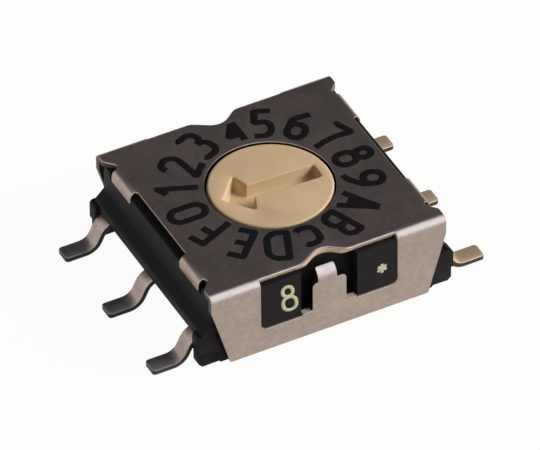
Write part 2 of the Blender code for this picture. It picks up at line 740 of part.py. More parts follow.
def terminal_stations(side, row, bit, angle):
    """Middle points of the whole strip with width and thickness: lead, root, then the contact arm."""
    y = row * PITCH
    stations = []
    for number, (x, z) in enumerate(lead_path()):
        width = LEAD_WIDTH - 2 * LEAD_TIP_CORNER if number == 0 else LEAD_WIDTH
        stations.append((Vector((side * x, y, z)), width, LEAD_SHEET))
    inner, outer = track_radii(bit)
    reach = (inner + outer) / 2
    tip_z = ROTOR_FLANGE_BOTTOM - DISC_THICKNESS - SEAT - ARM_SHEET / 2
    contact = Vector((reach * cos(angle), reach * sin(angle), tip_z))
    root = stations[-1][0]
    along = Vector((contact.x - root.x, contact.y - root.y, 0)).normalized()
    hinge = root + along * (Vector((root.x, root.y)).length - WELL_RADIUS + LEAD_WIDTH / 4)
    stations.append((hinge, LEAD_WIDTH, LEAD_SHEET))
    stations.append((hinge + along * LEAD_WIDTH / 4, ARM_WIDTH, ARM_SHEET))
    stations.append((contact - along * ARM_FLAT / 2, ARM_WIDTH, ARM_SHEET))
    stations.append((contact + along * ARM_FLAT / 2, ARM_WIDTH, ARM_SHEET))
    toe = contact + along * ARM_TOE
    toe.z -= ARM_TOE / 2
    stations.append((toe, ARM_WIDTH, ARM_SHEET))
    return stations


def ribbon(stations):
    """A strip through the stations, its width level and its thickness square to the path."""
    bm = bmesh.new()
    rings = []
    for number, (point, width, thickness) in enumerate(stations):
        ahead = stations[min(number + 1, len(stations) - 1)][0] - point
        behind = point - stations[max(number - 1, 0)][0]
        if number == 0:
            behind = ahead
        if number == len(stations) - 1:
            ahead = behind
        ahead, behind = ahead.normalized(), behind.normalized()
        along = (ahead + behind).normalized()
        level = Vector((along.x, along.y, 0)).normalized()
        level_ahead = Vector((ahead.x, ahead.y, 0)).normalized()
        across = Vector((-level.y, level.x, 0))
        normal = across.cross(along).normalized()
        turn = level.dot(level_ahead)
        w = across * width / 2 / turn
        t = normal * thickness / 2 * min(turn / along.dot(ahead), 1.5)
        rings.append([bm.verts.new(point + a) for a in (w + t, t - w, -w - t, w - t)])
    bm.faces.new(rings[0])
    bm.faces.new(rings[-1][::-1])
    for before, after in zip(rings, rings[1:]):
        for i in range(4):
            bm.faces.new((before[i - 1], before[i], after[i], after[i - 1]))
    return bm


def build_terminals(tinned):
    return [make_object(name, ribbon(terminal_stations(side, row, bit, angle)), tinned)
            for name, side, row, bit, angle in TERMINALS]


def main():
    for item in list(bpy.data.objects):
        bpy.data.objects.remove(item)
    steel = make_material("stainless_sheet", (0.36, 0.32, 0.30), 0.32, 1.0)
    black = make_material("black_moulding", (0.012, 0.011, 0.012), 0.5)
    cream = make_material("cream_moulding", (0.52, 0.38, 0.20), 0.5)
    rubber = make_material("seal_rubber", (0.18, 0.03, 0.02), 0.7)
    brass = make_material("plated_brass", (0.75, 0.52, 0.18), 0.3, 1.0)
    spring_steel = make_material("spring_steel", (0.45, 0.44, 0.43), 0.3, 1.0)
    tinned = make_material("tinned_bronze", (0.42, 0.36, 0.33), 0.35, 1.0)
    build_cover(steel)
    build_housing(black)
    build_base(black)
    rotor = build_rotor(cream)
    build_seal(rubber).parent = rotor
    build_code_disc(brass).parent = rotor
    build_detent_spring(spring_steel)
    build_terminals(tinned)


main()
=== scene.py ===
"""The looks of a surface-mount rotary code switch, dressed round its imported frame.

All lengths below are in millimetres and turn to metres when a mesh is made. The frame's solids give the
outer sizes; the finer shapes, such as rolled edges and smooth bends, are worked out here as surfaces.
"""
from math import cos, pi, radians, sin

import bmesh
import bpy
import numpy as np
from mathutils import Matrix, Vector
from mathutils.geometry import delaunay_2d_cdt


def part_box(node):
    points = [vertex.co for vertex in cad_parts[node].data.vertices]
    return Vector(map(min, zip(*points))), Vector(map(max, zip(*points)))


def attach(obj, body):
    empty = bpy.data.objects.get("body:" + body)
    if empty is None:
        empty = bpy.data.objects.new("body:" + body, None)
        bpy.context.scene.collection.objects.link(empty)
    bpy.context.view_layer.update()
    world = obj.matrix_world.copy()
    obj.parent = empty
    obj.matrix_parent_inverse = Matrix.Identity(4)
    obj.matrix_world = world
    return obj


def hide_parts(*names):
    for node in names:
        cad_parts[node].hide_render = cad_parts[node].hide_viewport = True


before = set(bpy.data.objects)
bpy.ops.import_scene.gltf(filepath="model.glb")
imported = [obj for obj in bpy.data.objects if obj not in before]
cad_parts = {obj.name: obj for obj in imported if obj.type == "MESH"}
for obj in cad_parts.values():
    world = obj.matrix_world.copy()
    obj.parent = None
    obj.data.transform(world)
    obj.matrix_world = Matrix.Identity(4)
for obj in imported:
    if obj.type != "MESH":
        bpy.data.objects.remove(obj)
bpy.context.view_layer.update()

MM = 0.001
# Points that lie nearer than this are one point
WELD = 1e-4
# A step that is shorter than this is left out
SAME = 1e-6
# A corner that is straighter than this isn't rounded
STRAIGHT = pi / 2 - 1e-3
ROUND_STEPS = 240
# The clear between two pieces, and how deep a piece stands in the one that carries it
PLAY = 0.01
SHARP = radians(35)
CREASE_ANGLE = radians(40)
CREASE_WIDTH = 0.015

cover_low, cover_high = (np.array(corner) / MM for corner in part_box("cover"))
housing_low, housing_high = (np.array(corner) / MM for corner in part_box("housing"))
rotor_low, rotor_high = (np.array(corner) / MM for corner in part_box("rotor"))
lead_low, lead_high = (np.array(corner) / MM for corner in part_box("terminal_common_right"))

# Sizes of the cover
COVER_TOP = cover_high[2]
COVER_HALF_X = 3.44
FLANGE_HALF_X = cover_high[0]
COVER_HALF_Y = cover_high[1]
FLANGE_BOTTOM = cover_low[2]
SHEET = 0.18
FOLD_RADIUS = 0.22
FOLD_STEPS = 14
FOLD_MARGIN = 0.02
HOLE_RADIUS = 1.75
FLANGE_BOTTOM_HALF = 2.94
FLANGE_TAPER_TOP = 1.95
WINDOW_HALF = 2.02
WINDOW_BOTTOM = 0.80
WINDOW_CORNER = 0.19
WINDOW_STEP_X = 0.80
WINDOW_STEP = 0.07
WINDOW_NICK = 0.02
LIP_Y = 3.24
NOTCH_DEPTH = 0.33
NOTCH_SLOPE = radians(38)
NOTCH_SLOPE_LEFT = radians(31)
NOTCH_ROUND = 0.50
NOTCH_SHOULDER = 0.30
TONGUE_HALF = 0.50
TONGUE_TOP = 1.77
TONGUE_SHOULDER = 0.135
TONGUE_ROOT = 0.04
TIP_HALF = 0.28
TIP_LENGTH = 0.46
TIP_OFFSET = -0.05
TIP_RADIUS = 0.42
TIP_NECK = 0.03
TAB_FROM = 1.42
TAB_TO = 2.50
TAB_BOTTOM = 2.10
TAB_CORNER = 0.06
TAB_ROOT = 0.05
RELIEF_Y = 2.63
RELIEF_DEPTH = 0.23
RELIEF_TO = 2.91
RELIEF_ROOT = 0.03
TAPER_ROUND = 0.20
SHEET_CORNER = 0.06
DIE_ROLL = 0.022
OPENING_ROLL = 0.014
LIP_ROLL = 0.055
BURR = 0.012
# A cut wall belongs to an opening where it lies nearer than this to its outline
NEAR = 0.05
TONGUE_NEAR = 0.03

# Sizes of the case
CASE_HALF_X = 3.41
CASE_HALF_Y = 3.16
CASE_TOP = housing_high[2]
SKIRT_HALF_X = 3.68
SKIRT_FROM = 1.20
SKIRT_TO = 1.48
SKIRT_ROUND = 0.15
CASE_CORNER = 0.05
PARTING = 0.87
CEILING = 1.95
CAVITY_RADIUS = 2.70
BORE_RADIUS = 1.76
POST_HALF_X = housing_high[0]
POST_INNER_X = 3.05
POST_WIDTH = 0.36
POST_BOTTOM = housing_low[2]
POST_SHOULDER = 0.12
POST_TOP = 1.10
POST_PROUD = 0.004
GROOVE_HALF = 0.83
GROOVE_DEPTH = 0.27
PAD_Y = housing_high[1]
PAD_GAP = 0.02
PAD_EDGE = 0.015
POCKET_X = 3.24
POCKET_FLOOR = 2.08
POCKET_FROM = 1.40
EAR_SLOT_X = 2.91
EAR_SLOT_HALF = 0.331
CASE_EDGE = 0.04

# Sizes of the rotor
ROTOR_TOP = rotor_high[2]
ROTOR_BOTTOM = rotor_low[2]
ROTOR_RADIUS = 1.69
ROTOR_FLANGE_RADIUS = rotor_high[0]
ROTOR_FLANGE_TOP = 1.78
ROTOR_FLANGE_BOTTOM = 1.40
DISC_BOTTOM = 1.30
DISC_INNER = 0.69
DISC_OUTER = 2.11
HUB_RADIUS = 0.56
HUB_BOTTOM = 0.67
PIVOT_RADIUS = 0.42
SEAL_MIDDLE = 2.14
SEAL_SECTION = 0.24
GROOVE_FLOOR = 1.49
ROTOR_EDGE = 0.07
SEAL_PLAY = 0.02
PIN_EDGE = 0.03
SLOT_DEPTH = 0.42
SLOT_LIP = 0.045
SHAFT_HALF = 0.26
SHAFT_CORNER = 0.07
ARROW_END = 1.38
HEAD_BACK = 0.58
BARB_X = 0.76
BARB_Y = 0.75
HEAD_CORNER = 0.05
ARROW_TURN = radians(-2.5)

# Sizes of the leads
PITCH = 2.54
LEAD_WIDTH = 0.52
LEAD_SHEET = 0.15
LEAD_TIP = lead_high[0]
LEAD_ROOT_Z = PARTING - PLAY - LEAD_SHEET / 2
FOOT_BEND_X = 4.05
KNEE_X = 3.70
LEAD_BEND = 0.45
LEAD_CORNER = 0.025
TIP_CORNER = 0.10
TIP_STEPS = 7
# How much thinner the very tip is, from its end inwards
TIP_THINNING = (0.05, 0.02)
ARM_ROOT_X = 2.42
WELL_RADIUS = 2.40
ARM_WIDTH = 0.16
ARM_SHEET = 0.08
ARM_FLAT = 0.10
ARM_TOE = 0.16
CONTACT_Z = DISC_BOTTOM - PLAY - ARM_SHEET / 2

# Sizes of the print
INK = 0.008
INK_STEP = 0.0006
DIAL_MIDDLE = 2.44
DIAL_STROKE = 0.205
DIAL_SCALE = 0.94
# How far a character stands to the right of its place, and outwards
DIAL_NUDGES = {
    "4": (0.10, -0.02), "B": (0, -0.05), "C": (0, -0.06), "D": (0, -0.05), "E": (0, -0.06), "F": (0, -0.06),
}
MARK_X = -1.195
MARK_Z = 1.555
MARK_SCALE = 0.77
MARK_STROKE = 0.105
MARK_LEAN = 0.14
STAR_X = 1.56
STAR_Z = 1.485
STAR_RADIUS = 0.15
STAR_STROKE = 0.09

# The studio
CAMERA_AZIMUTH = radians(-27.0933)
CAMERA_ELEVATION = radians(40.9534)
CAMERA_ROLL = radians(-0.676)
CAMERA_AIM = (-0.7543, -1.4290, 2.48)
CAMERA_DISTANCE = 258.826
CAMERA_LENS = 657.6
CAMERA_SENSOR = 36
CAMERA_NEAR = 10
FLOOR_HALF = 400
# How white the floor is to the camera, and to what mirrors it
FLOOR_SEEN = 0.96
FLOOR_MIRRORED = 0.69
CARD_TOWARDS = (0.344, 0.672, 0.655)
CARD_DISTANCE = 120
CARD_HALF = 84
CARD_LEFT = 165

# Each terminal: its side, row, contact radius and contact angle
TERMINALS = {
    "terminal_1": (-1, 1, 1.82, radians(135)),
    "terminal_common_left": (-1, 0, 0.81, radians(180)),
    "terminal_8": (-1, -1, 1.07, radians(-135)),
    "terminal_2": (1, 1, 1.57, radians(45)),
    "terminal_common_right": (1, 0, 0.81, radians(0)),
    "terminal_4": (1, -1, 1.32, radians(-45)),
}


# Making shapes

def unit(vectors):
    """Each row at length one."""
    return vectors / np.linalg.norm(vectors, axis=1, keepdims=True)


def inset(outline, distance):
    """Moves a closed outline to its left by a distance: each point slides along the mitre of its two
    edges, p + d (n1 + n2) / (1 + n1.n2), with n the edges' left normals."""
    after = unit(np.roll(outline, -1, axis=0) - outline)
    before = np.roll(after, 1, axis=0)
    left_after = np.stack([-after[:, 1], after[:, 0]], axis=1)
    left_before = np.stack([-before[:, 1], before[:, 0]], axis=1)
    spread = 1 + np.sum(left_after * left_before, axis=1, keepdims=True)
    return outline + distance * (left_after + left_before) / spread


def rounded(corners, steps=8, closed=True):
    """An outline of (x, y, radius) corners: straight runs joined by arcs that touch both of them."""
    corners = np.array(corners, float)
    count = len(corners)
    points = []
    for number, (x, y, radius) in enumerate(corners):
        here = np.array([x, y])
        at_end = not closed and number in (0, count - 1)
        before = corners[number - 1][:2] - here
        after = corners[(number + 1) % count][:2] - here
        if radius == 0 or at_end:
            points.append(here[None])
            continue
        before /= np.linalg.norm(before)
        after /= np.linalg.norm(after)
        half = np.arccos(np.clip(before @ after, -1, 1)) / 2
        if half > STRAIGHT:
            points.append(here[None])
            continue
        middle = (before + after) / np.linalg.norm(before + after)
        centre = here + middle * radius / sin(half)
        start = here + before * radius / np.tan(half) - centre
        turn = pi - 2 * half
        if before[0] * after[1] - before[1] * after[0] > 0:
            turn = -turn
        angles = np.linspace(0, turn, steps + 1)
        arc = np.stack([start[0] * np.cos(angles) - start[1] * np.sin(angles),
                        start[0] * np.sin(angles) + start[1] * np.cos(angles)], axis=1)
        points.append(centre + arc)
    return np.concatenate(points)


def circle(radius):
    """Points (r cos a, r sin a) round the origin, anticlockwise."""
    angles = np.arange(ROUND_STEPS) * 2 * pi / ROUND_STEPS
    return radius * np.stack([np.cos(angles), np.sin(angles)], axis=1)


def raised(outline, height):
    """A flat outline as points in space at one height, or at a height for each point."""
    return np.column_stack([outline, np.broadcast_to(np.ravel(height), len(outline))])


def quads(rows, columns, wrap_rows=False, wrap_columns=True):
    """Corner numbers of the quads of a grid of points, row after row."""
    row = np.arange(rows if wrap_rows else rows - 1)
    column = np.arange(columns if wrap_columns else columns - 1)
    row, column = np.meshgrid(row, column, indexing="ij")
    next_row = (row + 1) % rows
    next_column = (column + 1) % columns
    cells = [row * columns + column, row * columns + next_column,
             next_row * columns + next_column, next_row * columns + column]
    return np.stack([cell.ravel() for cell in cells], axis=1).tolist()


def loft(rings, caps=True):
    """A surface through closed rings of equally many points, with flat ends or open."""
    rings = np.asarray(rings, float)
    count, width = rings.shape[:2]
    faces = quads(count, width)
    if caps:
        faces.append(list(range(width))[::-1])
        faces.append(list(range((count - 1) * width, count * width)))
    return rings.reshape(-1, 3), faces


def joined(parts):
    """Several (points, faces) meshes as one."""
    points, faces, start = [], [], 0
    for part_points, part_faces in parts:
        points.append(part_points)
        faces += [[start + index for index in face] for face in part_faces]
        start += len(part_points)
    return np.concatenate(points), faces


def inside(points, outlines):
    """Even-odd test: a point is inside where a ray towards +X crosses the outlines an odd number of times."""
    crossings = np.zeros(len(points), int)
    for outline in outlines:
        x0, y0 = outline.T[:, None]
        x1, y1 = np.roll(outline, -1, axis=0).T[:, None]
        x, y = points[:, :1], points[:, 1:]
        spans = (y0 > y) != (y1 > y)
        reach = x0 + (y - y0) * (x1 - x0) / np.where(y1 == y0, 1, y1 - y0)
        crossings += np.sum(spans & (x < reach), axis=1)
    return crossings % 2 == 1


def flat_face(outlines, height):
    """Level face bounded by outlines, holes left open, as a constrained Delaunay net."""
    flat = np.concatenate(outlines)
    starts = np.cumsum([0] + [len(outline) for outline in outlines])
    edges = [(low + i, low + (i + 1) % (high - low)) for low, high in zip(starts, starts[1:])
             for i in range(high - low)]
    verts, _, faces, *_ = delaunay_2d_cdt([Vector(p) for p in flat.tolist()], edges, [], 0, SAME, False)
    points = np.array([tuple(vert) for vert in verts])
    centres = points[np.array(faces)].mean(axis=1)
    kept = inside(centres, outlines)
    return raised(points, height), [face for face, keep in zip(faces, kept.tolist()) if keep]


def turned(profile):
    """A (radius, z) profile turned about the Z axis, as rings of (r cos a, r sin a, z)."""
    return [raised(circle(radius), height) for radius, height in profile]


def edge_profile(edge, steps=3):
    """Quarter round from a face into a wall: (inset, drop) pairs (e (1 - sin t), e (1 - cos t))."""
    angles = np.linspace(0, pi / 2, steps + 1)
    return [(edge * (1 - sin(t)), edge * (1 - cos(t))) for t in angles]


def prism(outline, start, end, edge):
    """An outline carried along the third axis with quarter-round edges at both ends."""
    rings = [raised(inset(outline, d), start + drop) for d, drop in edge_profile(edge)]
    rings += [raised(inset(outline, d), end - drop) for d, drop in reversed(edge_profile(edge))]
    return loft(rings)


def new_mesh(name, points, faces):
    """A mesh from an array of points and a list of faces."""
    mesh = bpy.data.meshes.new(name)
    mesh.from_pydata(points.tolist(), [], faces)
    return mesh


def add_object(name, data):
    """An object in the scene, at the origin."""
    made = bpy.data.objects.new(name, data)
    bpy.context.scene.collection.objects.link(made)
    return made


def make_piece(name, mesh_data, material, body, replaced=None, wall_shading=None):
    """A finished piece in metres at the origin: doubles merged, faces out, smooth but for sharp edges.
    Wall shading is how far each point lies on a cut wall, a share that the materials paint with shade or
    highlight. A piece that replaces a node is shaded evenly."""
    points, faces = mesh_data
    mesh = new_mesh(name, points * MM, faces)
    # Stores the share of painted shade and highlight on cut walls.
    if wall_shading is not None:
        mesh.attributes.new("cut_wall_shading_and_finish", "FLOAT", "POINT").data.foreach_set("value", wall_shading)
    bm = bmesh.new()
    bm.from_mesh(mesh)
    bmesh.ops.remove_doubles(bm, verts=bm.verts[:], dist=WELD * MM)
    bmesh.ops.recalc_face_normals(bm, faces=bm.faces[:])
    bm.to_mesh(mesh)
    bm.free()
    mesh.shade_smooth()
    mesh.set_sharp_from_angle(angle=SHARP)
    mesh.materials.append(material)
    piece = add_object(name, mesh)
    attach(piece, body)
    if replaced:
        modifier = piece.modifiers.new("even_shading", "WEIGHTED_NORMAL")
        modifier.keep_sharp = True
        modifier.weight = 100
        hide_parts(replaced)


# Finishes

def linear(code):
    """An sRGB hex colour as linear values: c / 12.92 below 0.04045, else ((c + 0.055) / 1.055) ^ 2.4."""
    values = np.array([int(code[i:i + 2], 16) for i in (1, 3, 5)]) / 255
    low = values / 12.92
    high = ((values + 0.055) / 1.055) ** 2.4
    return (*np.where(values <= 0.04045, low, high).tolist(), 1.0)


def add_node(tree, kind, settings=None, links=None):
    """Adds one node; settings fill its inputs or its own properties, links feed its inputs."""
    made = tree.nodes.new(kind)
    for name, value in (settings or {}).items():
        if name in made.inputs:
            made.inputs[name].default_value = value
        else:
            setattr(made, name, value)
    for name, source in (links or {}).items():
        tree.links.new(source, made.inputs[name])
    return made


def start_material(name, **values):
    """A Principled surface with its plain values set on its own sockets."""
    material = bpy.data.materials.new(name)
    material.use_nodes = True
    shader = material.node_tree.nodes["Principled BSDF"]
    for key, value in values.items():
        shader.inputs[key.replace("_", " ")].default_value = value
    return material, material.node_tree, shader


def add_clouds(tree, place, cells, tones, detail=3, breakup=0.5):
    """Soft clouds, cells of them to a millimetre, that run between two (share, hex) tones."""
    cloud = add_node(tree, "ShaderNodeTexNoise",
                     {"Scale": cells / MM, "Detail": detail, "Roughness": breakup}, {"Vector": place})
    tone = add_node(tree, "ShaderNodeValToRGB", {}, {"Fac": cloud.outputs["Fac"]})
    for element, (share, code) in zip(tone.color_ramp.elements, tones):
        element.position = share
        element.color = linear(code)
    return cloud.outputs["Fac"], tone.outputs["Color"]


def add_relief(tree, shader, drift, haze, relief, strength, height):
    """Roughness that drifts between two values with one pattern, and another pattern's relief in mm."""
    gloss = add_node(tree, "ShaderNodeMapRange", {"To Min": haze[0], "To Max": haze[1]}, {"Value": drift})
    tree.links.new(gloss.outputs["Result"], shader.inputs["Roughness"])
    bump = add_node(tree, "ShaderNodeBump", {"Strength": strength, "Distance": height * MM},
                    {"Height": relief})
    tree.links.new(bump.outputs["Normal"], shader.inputs["Normal"])


def rolled_stainless_sheet():
    """Cold-rolled stainless sheet, 0.18 mm: satin, warm grey, with fine rolling lines along X. Its cut walls
    carry painted shade round the outside; in the openings they are rougher and less metallic and carry a
    painted, light warm highlight."""
    material, tree, shader = start_material("rolled_stainless_sheet", Metallic=1.0)
    place = add_node(tree, "ShaderNodeTexCoord").outputs["Object"]
    stain, tone = add_clouds(tree, place, 0.9, [(0.30, "#ad9d92"), (0.70, "#bcaa9c")], 5, 0.65)
    speckle_tone = add_clouds(tree, place, 7, [(0.35, "#ecebee"), (0.65, "#ffffff")], 4, 0.75)[1]
    dappled = add_node(tree, "ShaderNodeMixRGB", {"blend_type": "MULTIPLY", "Fac": 1.0},
                       {"Color1": tone, "Color2": speckle_tone})
    # Painted shade gives the outer cut walls a dark tone; a painted highlight gives the openings' cut walls a
    # light warm tone. Their roughness and metallic changes are real.
    cut_wall_shading_and_finish = add_node(tree, "ShaderNodeAttribute", {"attribute_name": "cut_wall_shading_and_finish"}).outputs["Fac"]
    outer_wall_shade = add_node(tree, "ShaderNodeMapRange", {"From Max": 0.5}, {"Value": cut_wall_shading_and_finish})
    outer_shaded_tone = add_node(tree, "ShaderNodeMixRGB", {"Color2": linear("#4a403c")},
                          {"Fac": outer_wall_shade.outputs["Result"], "Color1": dappled.outputs["Color"]})
    opening_wall_highlight_and_finish = add_node(tree, "ShaderNodeMapRange", {"From Min": 0.5}, {"Value": cut_wall_shading_and_finish}).outputs["Result"]
    opening_highlight_tone = add_node(tree, "ShaderNodeMixRGB", {"Color2": linear("#dcc0a8")},
                         {"Fac": opening_wall_highlight_and_finish, "Color1": outer_shaded_tone.outputs["Color"]})
    tree.links.new(opening_highlight_tone.outputs["Color"], shader.inputs["Base Color"])
    haze = add_node(tree, "ShaderNodeMapRange", {"To Min": 0.32, "To Max": 0.42}, {"Value": stain})
    torn = add_node(tree, "ShaderNodeMapRange", {"To Min": 0.0, "To Max": 0.3}, {"Value": opening_wall_highlight_and_finish})
    rough = add_node(tree, "ShaderNodeMath", {"operation": "ADD"})
    tree.links.new(haze.outputs["Result"], rough.inputs[0])
    tree.links.new(torn.outputs["Result"], rough.inputs[1])
    tree.links.new(rough.outputs["Value"], shader.inputs["Roughness"])
    dull = add_node(tree, "ShaderNodeMapRange", {"To Min": 1.0, "To Max": 0.35}, {"Value": opening_wall_highlight_and_finish})
    tree.links.new(dull.outputs["Result"], shader.inputs["Metallic"])
    # Real rolling lines are finer than these 16 to a millimetre, 20 times as long as wide, which can show
    drawn_out = add_node(tree, "ShaderNodeMapping", {"Scale": (0.05, 1, 1)}, {"Vector": place})
    grain = add_node(tree, "ShaderNodeTexNoise", {"Scale": 16 / MM, "Detail": 3, "Roughness": 0.6},
                     {"Vector": drawn_out.outputs["Vector"]})
    bump = add_node(tree, "ShaderNodeBump", {"Strength": 0.25, "Distance": 0.004 * MM},
                    {"Height": grain.outputs["Fac"]})
    tree.links.new(bump.outputs["Normal"], shader.inputs["Normal"])
    return material


def moulded_plastic(name, cells, tones, detail, haze, grains, strength, height, **values):
    """A moulding from a spark-eroded mould: matt, faintly clouded, with a fine grain. The real grain is
    some 0.01 mm wide and is drawn about 0.05 mm wide, so that it shows."""
    material, tree, shader = start_material(name, **values)
    place = add_node(tree, "ShaderNodeTexCoord").outputs["Object"]
    cloud, tone = add_clouds(tree, place, cells, tones, detail)
    tree.links.new(tone, shader.inputs["Base Color"])
    grit = add_node(tree, "ShaderNodeTexNoise", {"Scale": grains / MM, "Detail": 3}, {"Vector": place})
    add_relief(tree, shader, cloud, haze, grit.outputs["Fac"], strength, height)
    return material


def black_case_moulding():
    """Glass-filled black PBT: nearly black, matt, with a very fine grain."""
    return moulded_plastic("black_case_moulding", 0.7, [(0.35, "#181617"), (0.70, "#201d20")], 3,
                           haze=(0.45, 0.65), grains=22, strength=0.3, height=0.006,
                           IOR=1.5, Specular_IOR_Level=0.12)


def cream_rotor_moulding():
    """Cream glass-filled nylon: matt, slightly uneven in tone, a little light passes into it."""
    return moulded_plastic("cream_rotor_moulding", 1.1, [(0.30, "#d7bf99"), (0.70, "#e1caa5")], 4,
                           haze=(0.45, 0.6), grains=18, strength=0.25, height=0.005,
                           IOR=1.53, Specular_IOR_Level=0.3, Subsurface_Weight=0.12,
                           Subsurface_Radius=(0.5, 0.3, 0.15), Subsurface_Scale=0.4 * MM)


def dull_tin_plating():
    """Dull tin over phosphor bronze strip: soft satin metal with cloudy frost. The cut sides and tips are
    less metallic and darkened with painted shade; painted light makes the right row lighter and warmer, and
    painted shade makes the left row's feet grey."""
    material, tree, shader = start_material("dull_tin_plating", Specular_IOR_Level=0.2)
    place = add_node(tree, "ShaderNodeTexCoord").outputs["Object"]
    cloud, tone = add_clouds(tree, place, 2.6, [(0.30, "#ab9890"), (0.72, "#d3c0b8")], 5, 0.7)
    out = add_node(tree, "ShaderNodeSeparateXYZ", {}, {"Vector": place}).outputs["X"]
    cut_wall_shading_and_finish = add_node(tree, "ShaderNodeAttribute", {"attribute_name": "cut_wall_shading_and_finish"}).outputs["Fac"]
    right_row_painted_light = add_node(tree, "ShaderNodeMapRange", {"From Min": 3.4 * MM, "From Max": 4.2 * MM, "To Max": 0.8},
                      {"Value": out}).outputs["Result"]
    left_feet_painted_shade = add_node(tree, "ShaderNodeMapRange",
                        {"From Min": -4.0 * MM, "From Max": -4.3 * MM, "To Max": 0.75},
                        {"Value": out}).outputs["Result"]
    # Painted light makes the right row lighter and warmer; painted shade makes the left row's feet grey and
    # the cut sides dark.
    for code, share in (("#fadcb4", right_row_painted_light), ("#7c7a7e", left_feet_painted_shade), ("#463b34", cut_wall_shading_and_finish)):
        tone = add_node(tree, "ShaderNodeMixRGB", {"Color2": linear(code)},
                        {"Fac": share, "Color1": tone}).outputs["Color"]
    tree.links.new(tone, shader.inputs["Base Color"])
    dull = add_node(tree, "ShaderNodeMapRange", {"To Min": 0.75, "To Max": 0.15}, {"Value": cut_wall_shading_and_finish})
    tree.links.new(dull.outputs["Result"], shader.inputs["Metallic"])
    add_relief(tree, shader, cloud, (0.30, 0.52), cloud, 0.3, 0.01)
    return material


def plain_finish(name, cells, tones, detail, **values):
    """An even surface of one tone with faint clouds, such as printing ink or an inner piece."""
    material, tree, shader = start_material(name, **values)
    place = add_node(tree, "ShaderNodeTexCoord").outputs["Object"]
    tone = add_clouds(tree, place, cells, list(zip((0.3, 0.7), tones)), detail)[1]
    tree.links.new(tone, shader.inputs["Base Color"])
    return material


def printing_ink(name, *tones):
    """Pad-printing ink: an even matt film whose tone pools slightly."""
    return plain_finish(name, 5, tones, 3, IOR=1.48, Specular_IOR_Level=0.15, Roughness=0.6)


def hidden_finish(name, *tones, **values):
    """Finish of an inner piece: its metallic and roughness, and two near tones."""
    return plain_finish(name, 2, tones, 4, **values)


# The folded cover

FOLD_START_X = COVER_HALF_X - FOLD_RADIUS
FOLD_START_Y = COVER_HALF_Y - FOLD_RADIUS
FOLD_ARC = FOLD_RADIUS * pi / 2


def unrolled(start, height):
    """Distance in the flat blank of a point at this height on a folded side."""
    return start + FOLD_ARC + COVER_TOP - FOLD_RADIUS - height


TIP_ROOT = unrolled(FOLD_START_Y, TONGUE_TOP)


def blank_outline():
    """Outer edge of the blank, anticlockwise: tabs and relief notches at the sides, tapered flanges."""
    tab_end = unrolled(FOLD_START_X, TAB_BOTTOM)
    relief_x = COVER_HALF_X - RELIEF_DEPTH
    quarter = [
        (FOLD_START_X, TAB_FROM - TAB_CORNER, TAB_ROOT),
        (FOLD_START_X + TAB_CORNER, TAB_FROM, TAB_ROOT),
        (tab_end, TAB_FROM, TAB_CORNER),
        (tab_end, TAB_TO, TAB_CORNER),
        (FOLD_START_X + TAB_CORNER, TAB_TO, RELIEF_ROOT),
        (relief_x, RELIEF_Y, TAB_CORNER),
        (FLANGE_HALF_X, RELIEF_TO, 2 * SHEET_CORNER),
        (FLANGE_HALF_X, unrolled(FOLD_START_Y, FLANGE_TAPER_TOP), TAPER_ROUND),
        (FLANGE_BOTTOM_HALF, unrolled(FOLD_START_Y, FLANGE_BOTTOM), SHEET_CORNER),
    ]
    loop = list(quarter)
    loop += [(-x, y, r) for x, y, r in reversed(quarter)]
    loop += [(-x, -y, r) for x, y, r in quarter]
    loop += [(x, -y, r) for x, y, r in reversed(quarter)]
    return rounded(loop, 6)


def opening_outline(side):
    """A flange's opening, clockwise: windows, top-plate notch and the free edge of the tongue."""
    bottom = unrolled(FOLD_START_Y, WINDOW_BOTTOM)
    step = unrolled(FOLD_START_Y, WINDOW_BOTTOM + WINDOW_STEP)
    vee = NOTCH_DEPTH + NOTCH_ROUND * (1 / cos(NOTCH_SLOPE) - 1)
    half = [
        (WINDOW_HALF, LIP_Y, WINDOW_NICK),
        (WINDOW_HALF, bottom, WINDOW_CORNER),
        (WINDOW_STEP_X, bottom, WINDOW_NICK),
        (WINDOW_STEP_X, step, WINDOW_NICK),
        (TONGUE_HALF, step, TONGUE_ROOT),
    ]
    tongue = [
        (TONGUE_HALF, TIP_ROOT, TONGUE_SHOULDER),
        (TIP_OFFSET + TIP_HALF, TIP_ROOT, TIP_NECK),
        (TIP_OFFSET + TIP_HALF, TIP_ROOT - TIP_LENGTH, SHEET_CORNER),
        (TIP_OFFSET - TIP_HALF, TIP_ROOT - TIP_LENGTH, SHEET_CORNER),
        (TIP_OFFSET - TIP_HALF, TIP_ROOT, TIP_NECK),
        (-TONGUE_HALF, TIP_ROOT, TONGUE_SHOULDER),
    ]
    loop = [(0, LIP_Y - vee, NOTCH_ROUND), (vee / np.tan(NOTCH_SLOPE), LIP_Y, NOTCH_SHOULDER)]
    loop += half + tongue
    loop += [(-x, y, r) for x, y, r in reversed(half)]
    loop.append((-vee / np.tan(NOTCH_SLOPE_LEFT), LIP_Y, NOTCH_SHOULDER))
    points = rounded(loop, 10) * (1, side)
    return points if side < 0 else points[::-1]


